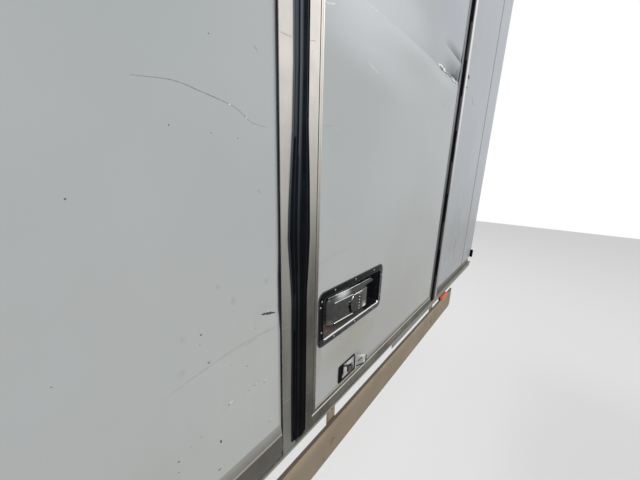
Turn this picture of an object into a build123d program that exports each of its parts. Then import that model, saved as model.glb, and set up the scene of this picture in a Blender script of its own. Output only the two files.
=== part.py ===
from build123d import *
import math
import os

# Side wall section of an insulated truck body, with its hinged side door, lock and side guard.
# Millimetres. X runs forward along the wall, Y runs from the outer skin into the load space, Z is up.
# The origin is the middle of the bolt row in the floor rail's inboard flange, on its underside.

# Widths along the wall, from the rear end forward
rear_wall_width = 434.0
seal_width = 6.0
latch_post_width = 38.0
latch_gap = 32.0
leaf_width = 973.0
hinge_gap = 58.0
hinge_post_width = 38.0
front_wall_width = 556.0
corner_joint_width = 10.0
corner_panel_width = 307.0
channel_web = 3.0
channel_arm = 28.0
edge_rubber = 5.0
corner_radius = 30.0
joint_proud = 1.0
stop_inset = 34.0
stop_width = 26.0
stop_height = 54.0
stop_depth = 16.0
stop_corner = 5.0

# Wall build-up, from the outer skin inwards
wall_thickness = 75.0
leaf_thickness = 72.0
profile_proud = 3.0
profile_wall = 4.0
post_proud = 2.0
jamb_step_depth = 20.0
jamb_clearance = 8.0

# Heights
rail_height = 60.0
lip_height = 8.0
lip_clearance = 6.0
apron_clearance = 5.0
leaf_height = 1850.0
head_gap = 34.0
header_height = 40.0
lintel_height = 236.0
top_rail_height = 60.0
top_rail_lap = 26.0
top_rail_bevel = 3.0

# Floor rail and its bolt row
rail_setback = 16.0
flange_thickness = 6.0
flange_width = 62.0
bolt_inset = 105.0
bolt_spacing = 480.0
bolt_count = 5
bolt_radius = 6.5

# Kick rail on the rear wall
kick_top = 107.0
kick_edge = 77.0
kick_foot = 12.0
kick_proud = 6.0
kick_lip = 38.0
kick_foot_proud = 2.0

# Door edge profile
flat_width = 28.0
ledge_width = 14.0
hinge_flat_width = 14.0
rib_count = 3
rib_rise = 0.5
rib_start = 0.25
rib_end = 0.6
rib_crest = 0.8

# Gaskets
gasket_lap = 7.0
gasket_proud = 9.0
gasket_reach = 10.0
gasket_gap = 0.3
gasket_step = 2.0
gasket_shoulder = 8.0
gasket_crown_start = 0.45
gasket_crown_end = 0.8
gasket_roll = 1.0
gasket_lip = 2.0
gasket_lip_thickness = 3.0
gasket_neck = 5.0
gasket_heel = 6.0
seal_proud = 1.5
sill_plate = 2.0
threshold_seal_depth = 26.0
threshold_seal_width = 24.0

# Hinge along the whole door edge
hinge_bead_radius = 7.0
hinge_pin_radius = 3.5
hinge_bore_clearance = 0.05
knuckle_count = 13
knuckle_gap = 1.0
hinge_plate = 4.0
hinge_cover = 2.0
hinge_cover_start = 13.0

# Lock pan, its fixed cover and its round-ended paddle
pan_width = 323.0
pan_height = 153.0
pan_left = 45.0
pan_bottom = 173.0
pan_sheet = 2.0
pan_flange = 19.0
pan_corner = 12.0
pan_inner_corner = 7.0
pan_depth = 28.0
pan_slope = 9.0
finger_depth = 42.0
finger_room = 62.0
finger_undercut = 19.0
pocket_clearance = 0.5
paddle_side_gap = 26.5
paddle_drop = 8.0
paddle_sheet = 3.0
paddle_reach = 65.0
paddle_setback = 3.0
paddle_bend = 1.5
paddle_side = 10.0
paddle_grip = 12.0
paddle_pin_radius = 3.0
paddle_eye_radius = 6.0
paddle_pin_back = 8.0
cover_rear_gap = 48.0
cover_setback = 4.0
cover_margin = 1.5
cover_corner = 3.0
notch_gap = 5.0
ear_inset = 7.0
ear_thickness = 4.0
ear_half = 5.0

# Latch bolt in the leaf's edge
bolt_height = 24.0
bolt_thickness = 14.0
bolt_throw = 16.0
bolt_length = 62.0
bolt_depth = 48.0
bolt_play = 0.5
keeper_wall = 3.0
keeper_play = 1.5

# Lower catch
catch_width = 86.0
catch_height = 56.0
catch_left = 142.0
catch_bottom = 7.0
catch_depth = 26.0
catch_rim = 9.0
catch_rim_proud = 3.0
catch_core_width = 34.0
catch_core_height = 22.0
catch_core_depth = 14.0
flap_length = 33.0
flap_taper = 6.5
flap_edge_gap = 5.0
flap_corner = 5.0
flap_thickness = 3.0
flap_angle = 40.0
flap_pin_radius = 2.5
flap_knuckle_radius = 4.0
flap_lug = 4.0
catch_corner = 6.0
core_gap = 3.0
core_corner = 5.0

# Inside release and liners
release_radius = 26.0
release_stem = 9.0
release_wall = 6.0
release_travel = 14.0
release_stand = 18.0
release_cap = 8.0
release_rose = 36.0
plate_thickness = 1.5
inner_plate_height = 190.0
inner_plate_margin = 2.0
cargo_rail_height = 110.0
cargo_rail_depth = 12.0
cargo_rail_level = 950.0

# Side guard, lamp rail and marker lamp
guard_top = -64.0
guard_bottom = -185.0
guard_bevel = 6.0
guard_sheet = 3.0
guard_rear_inset = 40.0
guard_front_inset = 508.0
guard_corner = 14.0
guard_corner_run = 28.0
hanger_width = 30.0
hanger_thickness = 8.0
hanger_foot = 56.0
hanger_rear_inset = 66.0
hanger_door_inset = 131.0
hanger_post_inset = 24.0
lamp_rail_start = 520.0
lamp_rail_height = 26.0
lamp_rail_thickness = 3.0
lamp_post_gap = 158.0
lamp_top = -27.0
lamp_setback = 2.0
lamp_length = 104.0
lamp_height = 30.0
lamp_base_depth = 8.0
lamp_lens_depth = 16.0
lamp_bracket = 3.0
lamp_bracket_width = 52.0
lamp_corner = 8.0
lens_edge = 3.0

# How far a cut runs past the face that it opens
overshoot = 1.0

# Worked out from the sizes above
skin = -bolt_inset
liner = skin + wall_thickness
widths = (
    rear_wall_width,
    seal_width,
    latch_post_width,
    latch_gap,
    leaf_width,
    hinge_gap,
    hinge_post_width,
    front_wall_width,
    corner_joint_width,
    corner_panel_width,
)
total_width = sum(widths)
rear_end = -total_width / 2
seal_x = rear_end + rear_wall_width
latch_post_x = seal_x + seal_width
latch_post_edge = latch_post_x + latch_post_width
leaf_x0 = latch_post_edge + latch_gap
leaf_x1 = leaf_x0 + leaf_width
hinge_post_edge = leaf_x1 + hinge_gap
hinge_post_end = hinge_post_edge + hinge_post_width
front_wall_end = hinge_post_end + front_wall_width
corner_x = front_wall_end + corner_joint_width
front_end = corner_x + corner_panel_width
hinge_x = leaf_x1 + hinge_gap / 2
leaf_z0 = lip_height + lip_clearance
leaf_z1 = leaf_z0 + leaf_height
header_z = leaf_z1 + head_gap
lintel_z = header_z + header_height
wall_top = lintel_z + lintel_height
profile_width = flat_width + ledge_width
hinge_profile_width = hinge_flat_width + ledge_width
leaf_back = skin + leaf_thickness
rail_face = skin + rail_setback

pan_x0 = leaf_x0 + pan_left
pan_x1 = pan_x0 + pan_width
pan_z0 = leaf_z0 + profile_width + pan_bottom
pan_z1 = pan_z0 + pan_height
dish_x0 = pan_x0 + pan_flange
dish_x1 = pan_x1 - pan_flange
dish_z0 = pan_z0 + pan_flange
dish_z1 = pan_z1 - pan_flange
finger_x0 = dish_x1 - finger_room - finger_undercut
paddle_end = dish_x1 - finger_room
paddle_round_x = paddle_end - paddle_reach
paddle_radius = (dish_z1 - dish_z0) / 2 - paddle_side_gap
paddle_middle = (dish_z0 + dish_z1) / 2 - paddle_drop
catch_x0 = leaf_x0 + catch_left
catch_x1 = catch_x0 + catch_width
catch_z0 = leaf_z0 + profile_width + catch_bottom
catch_z1 = catch_z0 + catch_height

bodies = {}


def block(x0, x1, y0, y1, z0, z1):
    """A box between two corners."""
    size = Box(x1 - x0, y1 - y0, z1 - z0)
    return Pos((x0 + x1) / 2, (y0 + y1) / 2, (z0 + z1) / 2) * size


def upright(points, z0, z1):
    """A plan outline of (x, y) points, raised from z0 to z1."""
    face = make_face(Polyline(*[(x, y, z0) for x, y in points], close=True))
    return extrude(face, amount=z1 - z0, dir=(0, 0, 1))


def lengthwise(points, x0, x1):
    """A section of (y, z) points, drawn along the wall from x0 to x1."""
    face = make_face(Polyline(*[(x0, y, z) for y, z in points], close=True))
    return extrude(face, amount=x1 - x0, dir=(1, 0, 0))


def through(points, y0, y1):
    """An outline of (x, z) points seen from outside, pushed in from y0 to y1."""
    face = make_face(Polyline(*[(x, y0, z) for x, z in points], close=True))
    return extrude(face, amount=y1 - y0, dir=(0, 1, 0))


def rod(radius, x, y, z0, z1):
    """An upright round bar."""
    return Pos(x, y, (z0 + z1) / 2) * Cylinder(radius, z1 - z0)


def cross_rod(radius, x, z, y0, y1):
    """A round bar that runs into the wall."""
    return Pos(x, (y0 + y1) / 2, z) * Rot(90, 0, 0) * Cylinder(radius, y1 - y0)


def rounded(x0, x1, z0, z1, y0, y1, corner):
    """A plate or pocket with four rounded corners, seen from outside."""
    plate = block(x0, x1, y0, y1, z0, z1)
    return fillet(plate.edges().filter_by(Axis.Y), corner)


def dish(x0, x1, z0, z1, y0, y1, slope, corner):
    """A pressed hollow as a solid: a rounded rectangle at y0 that narrows by the slope to y1."""
    outlines = []
    for y, inset in ((y0, 0.0), (y1, slope)):
        place = Plane(origin=((x0 + x1) / 2, y, (z0 + z1) / 2), x_dir=(1, 0, 0), z_dir=(0, 1, 0))
        outlines.append(place * RectangleRounded(x1 - x0 - 2 * inset, z1 - z0 - 2 * inset, corner))
    return loft(outlines)


def keep(name, shape):
    """Store one node's solid or solids."""
    bodies[name] = shape


def floor_rail():
    """The long extrusion under the wall: lip, box section and inboard bolting flange."""
    back = liner - profile_wall
    inner = (
        (rail_face + profile_wall, flange_thickness),
        (back, flange_thickness),
        (back, rail_height - profile_wall),
        (rail_face + profile_wall, rail_height - profile_wall),
    )
    outer = (
        (skin - profile_proud, 0),
        (liner + flange_width, 0),
        (liner + flange_width, flange_thickness),
        (liner, flange_thickness),
        (liner, rail_height),
        (rail_face, rail_height),
        (rail_face, lip_height),
        (skin - profile_proud, lip_height),
    )
    rail = lengthwise(outer, rear_end, front_end) - lengthwise(inner, rear_end, front_end)
    first = -bolt_spacing * (bolt_count - 1) / 2
    for index in range(bolt_count):
        x = first + index * bolt_spacing
        rail -= rod(bolt_radius, x, 0, -overshoot, flange_thickness + overshoot)
    keep("floor_rail", rail)


def wall_panels():
    """The fixed sandwich panels that stand on the floor rail."""
    keep("rear_wall_panel", block(rear_end, seal_x, skin, liner, rail_height, wall_top))
    keep("front_wall_panel", block(hinge_post_end, front_wall_end, skin, liner, rail_height, wall_top))
    lintel = block(latch_post_x, hinge_post_end, skin, liner, lintel_z, wall_top)
    keep("lintel_panel", lintel)
    corner = block(corner_x, front_end, skin, liner, rail_height, wall_top)
    outer_edge = corner.edges().filter_by(Axis.Z).sort_by(Axis.X)[-2:].sort_by(Axis.Y)[0]
    keep("front_corner_panel", fillet(outer_edge, corner_radius))
    joint = block(front_wall_end, corner_x, skin, liner, rail_height, wall_top)
    joint += block(front_wall_end, corner_x, skin - joint_proud, skin, rail_height, wall_top - top_rail_lap)
    keep("corner_joint_strip", joint)


def top_rail():
    """The cant rail that caps the wall and takes the roof."""
    outer = (
        (skin - profile_wall, wall_top - top_rail_lap),
        (skin, wall_top - top_rail_lap),
        (skin, wall_top),
        (liner, wall_top),
        (liner, wall_top + top_rail_height - top_rail_lap),
        (skin + rail_setback, wall_top + top_rail_height - top_rail_lap),
        (skin - profile_wall, wall_top + top_rail_bevel),
    )
    keep("top_rail", lengthwise(outer, rear_end, front_end))


def kick_rail():
    """Rubbing rail at the foot of the rear wall."""
    section = (
        (skin, kick_top),
        (skin - kick_proud, kick_edge),
        (skin - kick_proud, kick_lip),
        (skin - kick_foot_proud, kick_lip - profile_wall),
        (skin - kick_foot_proud, kick_foot),
        (rail_face, kick_foot),
        (rail_face, rail_height),
        (skin, rail_height),
    )
    keep("rear_kick_rail", lengthwise(section, rear_end, seal_x))


def posts():
    """The two door posts and the header, each with a rebate for the leaf."""
    foot = rail_height
    step = skin + jamb_step_depth
    jamb = leaf_x0 - jamb_clearance
    latch_post = (
        (latch_post_x, skin - post_proud),
        (latch_post_edge, skin - post_proud),
        (latch_post_edge, step),
        (jamb, step),
        (jamb, liner),
        (latch_post_x, liner),
    )
    latch_front = (
        (latch_post_x, skin - post_proud),
        (latch_post_edge, skin - post_proud),
        (latch_post_edge, rail_face),
        (latch_post_x, rail_face),
    )
    post = upright(latch_post, foot, lintel_z) + upright(latch_front, lip_height, foot)
    post -= keeper_pocket()
    keep("latch_post", post)
    near = leaf_x1 + jamb_clearance
    hinge_post = (
        (hinge_post_edge, skin - post_proud),
        (hinge_post_end, skin - post_proud),
        (hinge_post_end, liner),
        (near, liner),
        (near, step),
        (hinge_post_edge, step),
    )
    hinge_front = (
        (hinge_post_edge, skin - post_proud),
        (hinge_post_end, skin - post_proud),
        (hinge_post_end, rail_face),
        (hinge_post_edge, rail_face),
    )
    post = upright(hinge_post, foot, lintel_z) + upright(hinge_front, lip_height, foot)
    keep("hinge_post", post)
    header = (
        (skin - post_proud, lintel_z),
        (liner, lintel_z),
        (liner, leaf_z1 + jamb_clearance),
        (step, leaf_z1 + jamb_clearance),
        (step, header_z),
        (skin - post_proud, header_z),
    )
    keep("header_rail", lengthwise(header, jamb, near) + lengthwise(
        (
            (skin - post_proud, lintel_z),
            (step, lintel_z),
            (step, header_z),
            (skin - post_proud, header_z),
        ), latch_post_edge, hinge_post_edge))


def keeper_pocket():
    """Room in the latch post for the keeper and the bolt."""
    x1 = leaf_x0 - jamb_clearance
    x0 = x1 - bolt_throw - keeper_wall
    z = bolt_level()
    half = bolt_height / 2 + keeper_play + keeper_wall
    y = skin + bolt_depth
    depth = bolt_thickness / 2 + keeper_play + keeper_wall
    return block(x0, x1 + overshoot, y - depth, y + depth, z - half, z + half)


def bolt_level():
    """Height of the latch bolt, level with the middle of the lock pan."""
    return (pan_z0 + pan_z1) / 2


def edge_profile(flat):
    """Door edge profile: (distance in from the edge, distance out from the skin) of its face."""
    points = [(0.0, profile_proud), (flat, profile_proud)]
    pitch = ledge_width / rib_count
    for rib in range(rib_count):
        at = flat + rib * pitch
        low = profile_proud * (1 - (rib + 1) / (rib_count + 1))
        points.append((at + pitch * rib_start, low))
        points.append((at + pitch * rib_end, low))
        if rib < rib_count - 1:
            points.append((at + pitch * rib_crest, low + rib_rise))
    points.append((flat + ledge_width, 0.0))
    return points


def leaf_frame():
    """The four mitred aluminium profiles round the door leaf."""
    x0, x1, z0, z1 = leaf_x0, leaf_x1, leaf_z0, leaf_z1
    w = profile_width
    v = hinge_profile_width
    face = edge_profile(flat_width)
    narrow = edge_profile(hinge_flat_width)
    edge = [(profile_wall, 0.0), (profile_wall, -leaf_thickness), (0.0, -leaf_thickness)]
    latch = upright([(x0 + a, skin - b) for a, b in face + edge], z0, z1)
    hinge = upright([(x1 - a, skin - b) for a, b in narrow + edge], z0, z1)
    foot_edge = [
        (w, 0.0),
        (w, -rail_setback + apron_clearance),
        (w - profile_wall, -rail_setback + apron_clearance),
        (w - profile_wall, 0.0),
        (profile_wall, 0.0),
        (profile_wall, -rail_setback + apron_clearance),
        (0.0, -rail_setback + apron_clearance),
    ]
    bottom = lengthwise([(skin - b, z0 + a) for a, b in face[:-1] + foot_edge], x0, x1)
    top = lengthwise([(skin - b, z1 - a) for a, b in face + edge], x0, x1)
    deep = (skin - profile_proud - overshoot, leaf_back + overshoot)
    latch &= through(((x0, z0), (x0, z1), (x0 + w, z1 - w), (x0 + w, z0 + w)), *deep)
    hinge &= through(((x1, z0), (x1, z1), (x1 - v, z1 - w), (x1 - v, z0 + w)), *deep)
    bottom &= through(((x0, z0), (x1, z0), (x1 - v, z0 + w), (x0 + w, z0 + w)), *deep)
    top &= through(((x0, z1), (x1, z1), (x1 - v, z1 - w), (x0 + w, z1 - w)), *deep)
    return latch, hinge, bottom, top


def door():
    """The leaf, its frame profiles and the pockets for the lock and the catch."""
    latch, hinge, bottom, top = leaf_frame()
    sill = rail_height + jamb_clearance
    wide = block(
        leaf_x0 + profile_wall,
        leaf_x1 - profile_wall,
        skin,
        leaf_back,
        sill,
        leaf_z1 - profile_wall,
    )
    apron = block(
        leaf_x0 + profile_wall,
        leaf_x1 - profile_wall,
        skin,
        rail_face - apron_clearance,
        leaf_z0 + profile_width,
        sill,
    )
    panel = wide + apron
    plug_edge = block(leaf_x0, leaf_x1, rail_face, leaf_back + overshoot, leaf_z0, sill)
    latch -= plug_edge
    hinge -= plug_edge
    c = pocket_clearance
    edge = pan_sheet + c
    z0 = dish_z0 - edge
    z1 = dish_z1 + edge
    panel -= block(dish_x0 - edge, dish_x1 + edge, skin - overshoot, skin + pan_depth + edge, z0, z1)
    panel -= block(finger_x0 - edge, dish_x1 + edge, skin, skin + finger_depth + edge, z0, z1)
    middle = bolt_level()
    half = bolt_height / 2 + bolt_play
    y = skin + bolt_depth
    tunnel = block(
        leaf_x0 - overshoot,
        leaf_x0 + bolt_length + bolt_throw,
        y - bolt_thickness / 2 - bolt_play,
        y + bolt_thickness / 2 + bolt_play,
        middle - half,
        middle + half,
    )
    panel -= tunnel
    latch -= tunnel
    panel -= block(
        catch_x0 + catch_rim - c,
        catch_x1 - catch_rim + c,
        skin - overshoot,
        skin + catch_depth + edge,
        catch_z0 + catch_rim - c,
        catch_z1 - catch_rim + c,
    )
    past = leaf_back + overshoot
    panel -= cross_rod(release_stem + c, release_x(), paddle_middle, skin + pan_depth, past)
    keep("leaf_panel", panel)
    keep("latch_stile", latch)
    keep("hinge_stile", hinge)
    keep("bottom_rail", bottom)
    keep("top_stile", top)


def release_x():
    """Place of the inside release along the wall, behind the paddle's free half."""
    return finger_x0 - pan_sheet - 2 * pocket_clearance - release_wall - release_stem


def joints_and_edges():
    """Black joint strip, end channel, front edge rubber and the small stop at the front."""
    strip = block(seal_x, latch_post_x, skin, liner, rail_height, wall_top)
    strip += block(seal_x, latch_post_x, skin - seal_proud, skin, kick_top, wall_top - top_rail_lap)
    keep("joint_seal", strip)
    web = channel_web
    arm = channel_arm
    outer = (
        (rear_end, skin),
        (rear_end + arm, skin),
        (rear_end + arm, skin - web),
        (rear_end - web, skin - web),
        (rear_end - web, liner + web),
        (rear_end + arm, liner + web),
        (rear_end + arm, liner),
        (rear_end, liner),
    )
    keep("rear_end_channel", upright(outer, kick_top, wall_top - top_rail_lap))
    rubber = block(front_end, front_end + edge_rubber, skin + corner_radius, liner, rail_height, wall_top)
    keep("front_edge_rubber", rubber)
    stop_x = front_end - stop_inset
    stop_z = rail_height + stop_height
    stop = rounded(stop_x - stop_width, stop_x, rail_height, stop_z, skin - stop_depth, skin, stop_corner)
    keep("front_stop", stop)


def gasket_section():
    """Plan section of the door's edge gasket: (distance from leaf edge, depth from skin)."""
    gap = latch_gap
    lap = gap + gasket_lap
    over = -post_proud - gasket_gap
    back = jamb_step_depth - gasket_gap
    return (
        (0, -profile_proud - gasket_step),
        (gasket_shoulder, -gasket_proud + gasket_roll),
        (gap * gasket_crown_start, -gasket_proud),
        (gap * gasket_crown_end, -gasket_proud + gasket_roll),
        (lap - gasket_lip, over - gasket_lip_thickness),
        (lap, over - gasket_roll),
        (lap, over),
        (gap - 2 * gasket_gap, over),
        (gap - 2 * gasket_gap, gasket_neck),
        (gap - gasket_heel, gasket_reach),
        (gap - gasket_shoulder, back),
        (gasket_shoulder, back),
        (0, gasket_reach),
    )


def gaskets():
    """Black gaskets on the leaf: latch side, head and threshold."""
    section = gasket_section()
    side = [(leaf_x0 - a, skin + b) for a, b in section]
    seal = upright(side, leaf_z0, header_z - gasket_gap)
    floor = rail_height + sill_plate + gasket_gap
    behind = rail_face - gasket_gap
    seal -= block(leaf_x0 - latch_gap, leaf_x0, behind, liner, 0, floor)
    keep("latch_gasket", seal)
    head = [(skin + b, leaf_z1 + a * head_gap / latch_gap) for a, b in section]
    keep("head_gasket", lengthwise(head, leaf_x0, leaf_x1 - profile_wall))
    sill = rail_height + jamb_clearance
    foot = block(
        leaf_x0 + profile_wall,
        leaf_x1 - profile_wall,
        skin + threshold_seal_depth,
        skin + threshold_seal_depth + threshold_seal_width,
        floor,
        sill,
    )
    keep("threshold_gasket", foot)


def sill():
    """Stainless threshold plate on the floor rail, between the posts."""
    x0 = leaf_x0 - jamb_clearance
    x1 = leaf_x1 + jamb_clearance
    plate = block(x0, x1, rail_face, liner, rail_height, rail_height + sill_plate)
    keep("threshold_plate", plate)


def hinge_half(x_edge, side, first):
    """One half of the hinge: a long leaf plate with every second knuckle."""
    pitch = leaf_height / knuckle_count
    r = hinge_bead_radius
    inner = hinge_x + side * (r + knuckle_gap)
    y0 = skin - hinge_plate / 2
    y1 = skin + hinge_plate / 2
    half = block(min(x_edge, inner), max(x_edge, inner), y0, y1, leaf_z0, leaf_z1)
    for index in range(first, knuckle_count, 2):
        z0 = leaf_z0 + index * pitch + knuckle_gap / 2
        z1 = z0 + pitch - knuckle_gap
        arm = block(min(hinge_x, inner), max(hinge_x, inner), y0, y1, z0, z1)
        half += rod(r, hinge_x, skin, z0, z1) + arm
    bore = hinge_pin_radius + hinge_bore_clearance
    half -= rod(bore, hinge_x, skin, leaf_z0 - overshoot, leaf_z1 + overshoot)
    return half


def hinge():
    """Full-height hinge between the leaf and the front post, with rubber covers."""
    keep("hinge_leaf_fixed", hinge_half(hinge_post_edge, 1, 0))
    keep("hinge_leaf_door", hinge_half(leaf_x1, -1, 1))
    keep("hinge_pin", rod(hinge_pin_radius, hinge_x, skin, leaf_z0, leaf_z1))
    y1 = skin - hinge_plate / 2
    y0 = y1 - hinge_cover
    near = hinge_x - hinge_cover_start
    far = hinge_x + hinge_cover_start
    keep("hinge_cover_door", block(leaf_x1, near, y0, y1, leaf_z0, leaf_z1))
    keep("hinge_cover_fixed", block(far, hinge_post_edge, y0, y1, leaf_z0, leaf_z1))


def lock_pan():
    """Pressed stainless pan let into the leaf: flange, sloping dish and a deeper finger pocket."""
    s = pan_sheet
    deep = skin + finger_depth
    floor = skin + pan_depth
    flange = rounded(pan_x0, pan_x1, pan_z0, pan_z1, skin - s, skin, pan_corner)
    corner = pan_inner_corner
    pan = flange + dish(
        dish_x0 - s, dish_x1 + s, dish_z0 - s, dish_z1 + s, skin, floor + s, pan_slope, corner + s)
    pan += block(finger_x0 - s, dish_x1 + s, skin, deep + s, dish_z0 - s, dish_z1 + s)
    pan -= dish(dish_x0, dish_x1, dish_z0, dish_z1, skin - s, floor, pan_slope, corner)
    pan -= rounded(finger_x0, dish_x1, dish_z0, dish_z1, skin - s, deep, corner)
    keep("lock_pan", pan)


def lock_cover():
    """Fixed cover on the dish floor, hollow, notched for the paddle's round end, with its two ears."""
    s = pan_sheet
    x0 = dish_x0 + cover_rear_gap
    half = paddle_radius + cover_margin
    z0 = paddle_middle - half
    z1 = paddle_middle + half
    y0 = skin + cover_setback
    floor = skin + pan_depth
    px, py = paddle_axis()
    tongue = px + ear_half
    cover = block(x0, tongue, y0, floor, z0, z1)
    corners = cover.edges().filter_by(Axis.Y).group_by(Axis.X)[0]
    cover = fillet(corners, cover_corner)
    cover -= block(x0 + s, tongue + overshoot, y0 + s, floor - s, z0 + s, z1 - s)
    notch = paddle_radius + notch_gap
    cover -= cross_rod(notch, paddle_round_x, paddle_middle, y0 - overshoot, floor - s)
    for side in (-1, 1):
        far = paddle_middle + side * (paddle_radius - ear_inset)
        near = far - side * ear_thickness
        low = min(near, far)
        high = max(near, far)
        ear = block(px - ear_half, px + ear_half, py, floor, low, high) + rod(ear_half, px, py, low, high)
        cover += ear
    bore = paddle_pin_radius + hinge_bore_clearance
    cover -= rod(bore, px, py, paddle_middle - paddle_radius, paddle_middle + paddle_radius)
    keep("lock_cover", cover)


def paddle():
    """Pull paddle: a folded plate with a round rear end, hinged on a pin between the cover's ears."""
    r = paddle_radius
    t = paddle_sheet
    x1 = paddle_end
    z0 = paddle_middle - r
    z1 = paddle_middle + r
    y0 = skin + paddle_setback
    y1 = y0 + t
    px, py = paddle_axis()
    plate = cross_rod(r, paddle_round_x, paddle_middle, y0, y1)
    plate += block(paddle_round_x, x1, y0, y1, z0, z1)
    plate = fillet(plate.edges().group_by(Axis.Y)[0], paddle_bend)
    plate += block(x1 - t, x1, y1, y1 + paddle_grip, z0, z1)
    for z in (z0, z1 - t):
        plate += block(px + t, x1, y1, y1 + paddle_side, z, z + t)
        plate += rod(paddle_eye_radius, px, py, z, z + t)
        plate += block(px, px + t, y1, py + paddle_eye_radius, z, z + t)
    plate += rod(paddle_pin_radius, px, py, z0, z1)
    keep("paddle", plate)


def paddle_axis():
    """Place of the paddle's upright pin, under its round end."""
    x = paddle_round_x - paddle_pin_back
    y = skin + paddle_setback + paddle_sheet + paddle_eye_radius
    return x, y


def latch():
    """Sliding bolt in the leaf's edge and the keeper in the post."""
    middle = bolt_level()
    y = skin + bolt_depth
    half = bolt_height / 2
    deep = bolt_thickness / 2
    x0 = leaf_x0 - bolt_throw
    keep("latch_bolt", block(x0, x0 + bolt_length, y - deep, y + deep, middle - half, middle + half))
    k = keeper_wall
    p = keeper_play
    x1 = leaf_x0 - jamb_clearance
    room = block(x0 - p, x1 + overshoot, y - deep - p, y + deep + p, middle - half - p, middle + half + p)
    keep("latch_keeper", keeper_pocket() & block(x0 - p - k, x1, skin, liner, 0, wall_top) - room)


def catch():
    """Lower catch: rimmed pan, its core and the tapered flap that stands open."""
    r = catch_rim
    s = pan_sheet
    deep = skin + catch_depth
    face = skin - catch_rim_proud
    x0 = catch_x0 + r
    x1 = catch_x1 - r
    z0 = catch_z0 + r
    z1 = catch_z1 - r
    pan = rounded(catch_x0, catch_x1, catch_z0, catch_z1, face, skin, catch_corner)
    pan += block(x0, x1, skin, deep + s, z0, z1)
    pan -= block(x0 + s, x1 - s, face - overshoot, deep, z0 + s, z1 - s)
    middle = (catch_z0 + catch_z1) / 2
    half = catch_height / 2 - flap_edge_gap
    px, py = flap_axis()
    k = flap_knuckle_radius
    reach = half + gasket_gap + flap_lug
    for sign in (-1, 1):
        near = middle + sign * (half + gasket_gap)
        far = middle + sign * reach
        low = min(near, far)
        high = max(near, far)
        pan += rod(k, px, py, low, high) + block(px - k, px + k, py, skin, low, high)
    bore = flap_pin_radius + hinge_bore_clearance
    pan -= rod(bore, px, py, middle - reach - overshoot, middle + reach + overshoot)
    keep("catch_pan", pan)
    core_x = x0 + s + core_gap
    core_z = catch_core_height / 2
    keep("catch_core", rounded(
        core_x,
        core_x + catch_core_width,
        middle - core_z,
        middle + core_z,
        deep - catch_core_depth,
        deep,
        core_corner,
    ))
    tip = half - flap_taper
    outline = (
        (px, middle - half),
        (px + flap_length, middle - tip),
        (px + flap_length, middle + tip),
        (px, middle + half),
    )
    flap = through(outline, py - flap_thickness / 2, py + flap_thickness / 2)
    flap = fillet(flap.edges().filter_by(Axis.Y).group_by(Axis.X)[-1], flap_corner)
    flap = Pos(px, py, 0) * Rot(0, 0, -flap_angle) * Pos(-px, -py, 0) * flap
    flap += rod(flap_pin_radius, px, py, middle - reach, middle + reach)
    keep("catch_flap", flap)


def flap_axis():
    """Place of the flap's upright pin, on the forward rim of the catch."""
    x = catch_x1 - catch_rim / 2
    y = skin - catch_rim_proud - flap_knuckle_radius
    return x, y


def inside():
    """What shows on the load-space side: release, kick plates and cargo rails."""
    middle = paddle_middle
    x = release_x()
    rose = cross_rod(release_rose, x, middle, leaf_back, leaf_back + pan_sheet)
    past = leaf_back + pan_sheet + overshoot
    rose -= cross_rod(release_stem + pocket_clearance, x, middle, leaf_back - overshoot, past)
    keep("release_rose", rose)
    stem_y = skin + pan_depth + 2 * pan_sheet + release_travel
    head_y = leaf_back + pan_sheet + release_stand
    knob = cross_rod(release_stem, x, middle, stem_y, head_y)
    knob += cross_rod(release_radius, x, middle, head_y - release_cap / 2, head_y + release_cap / 2)
    keep("release_knob", knob)
    t = plate_thickness
    z0 = rail_height
    z1 = z0 + inner_plate_height
    rear_start = rear_end + channel_arm
    rear = block(rear_start, seal_x, liner, liner + t, z0, z1)
    front = block(hinge_post_end, front_end, liner, liner + t, z0, z1)
    keep("inner_plates", Compound(children=[rear, front]))
    bottom = rail_height + jamb_clearance
    keep("leaf_inner_plate", block(
        leaf_x0 + profile_wall + inner_plate_margin,
        leaf_x1 - profile_wall - inner_plate_margin,
        leaf_back,
        leaf_back + t,
        bottom,
        z1,
    ))
    depth = cargo_rail_depth
    low = cargo_rail_level
    high = low + cargo_rail_height
    section = (
        (liner, low),
        (liner + depth, low + depth),
        (liner + depth, high - depth),
        (liner, high),
    )
    rear = lengthwise(section, rear_start, seal_x)
    front = lengthwise(section, hinge_post_end, front_end)
    keep("cargo_rails", Compound(children=[rear, front]))


def lamp_rail():
    """Flat strip under the floor rail's lip, from the door's middle to the front."""
    x0 = leaf_x0 + lamp_rail_start
    strip = block(x0, front_end, skin, skin + lamp_rail_thickness, -lamp_rail_height, 0)
    keep("lamp_rail", strip)


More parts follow.
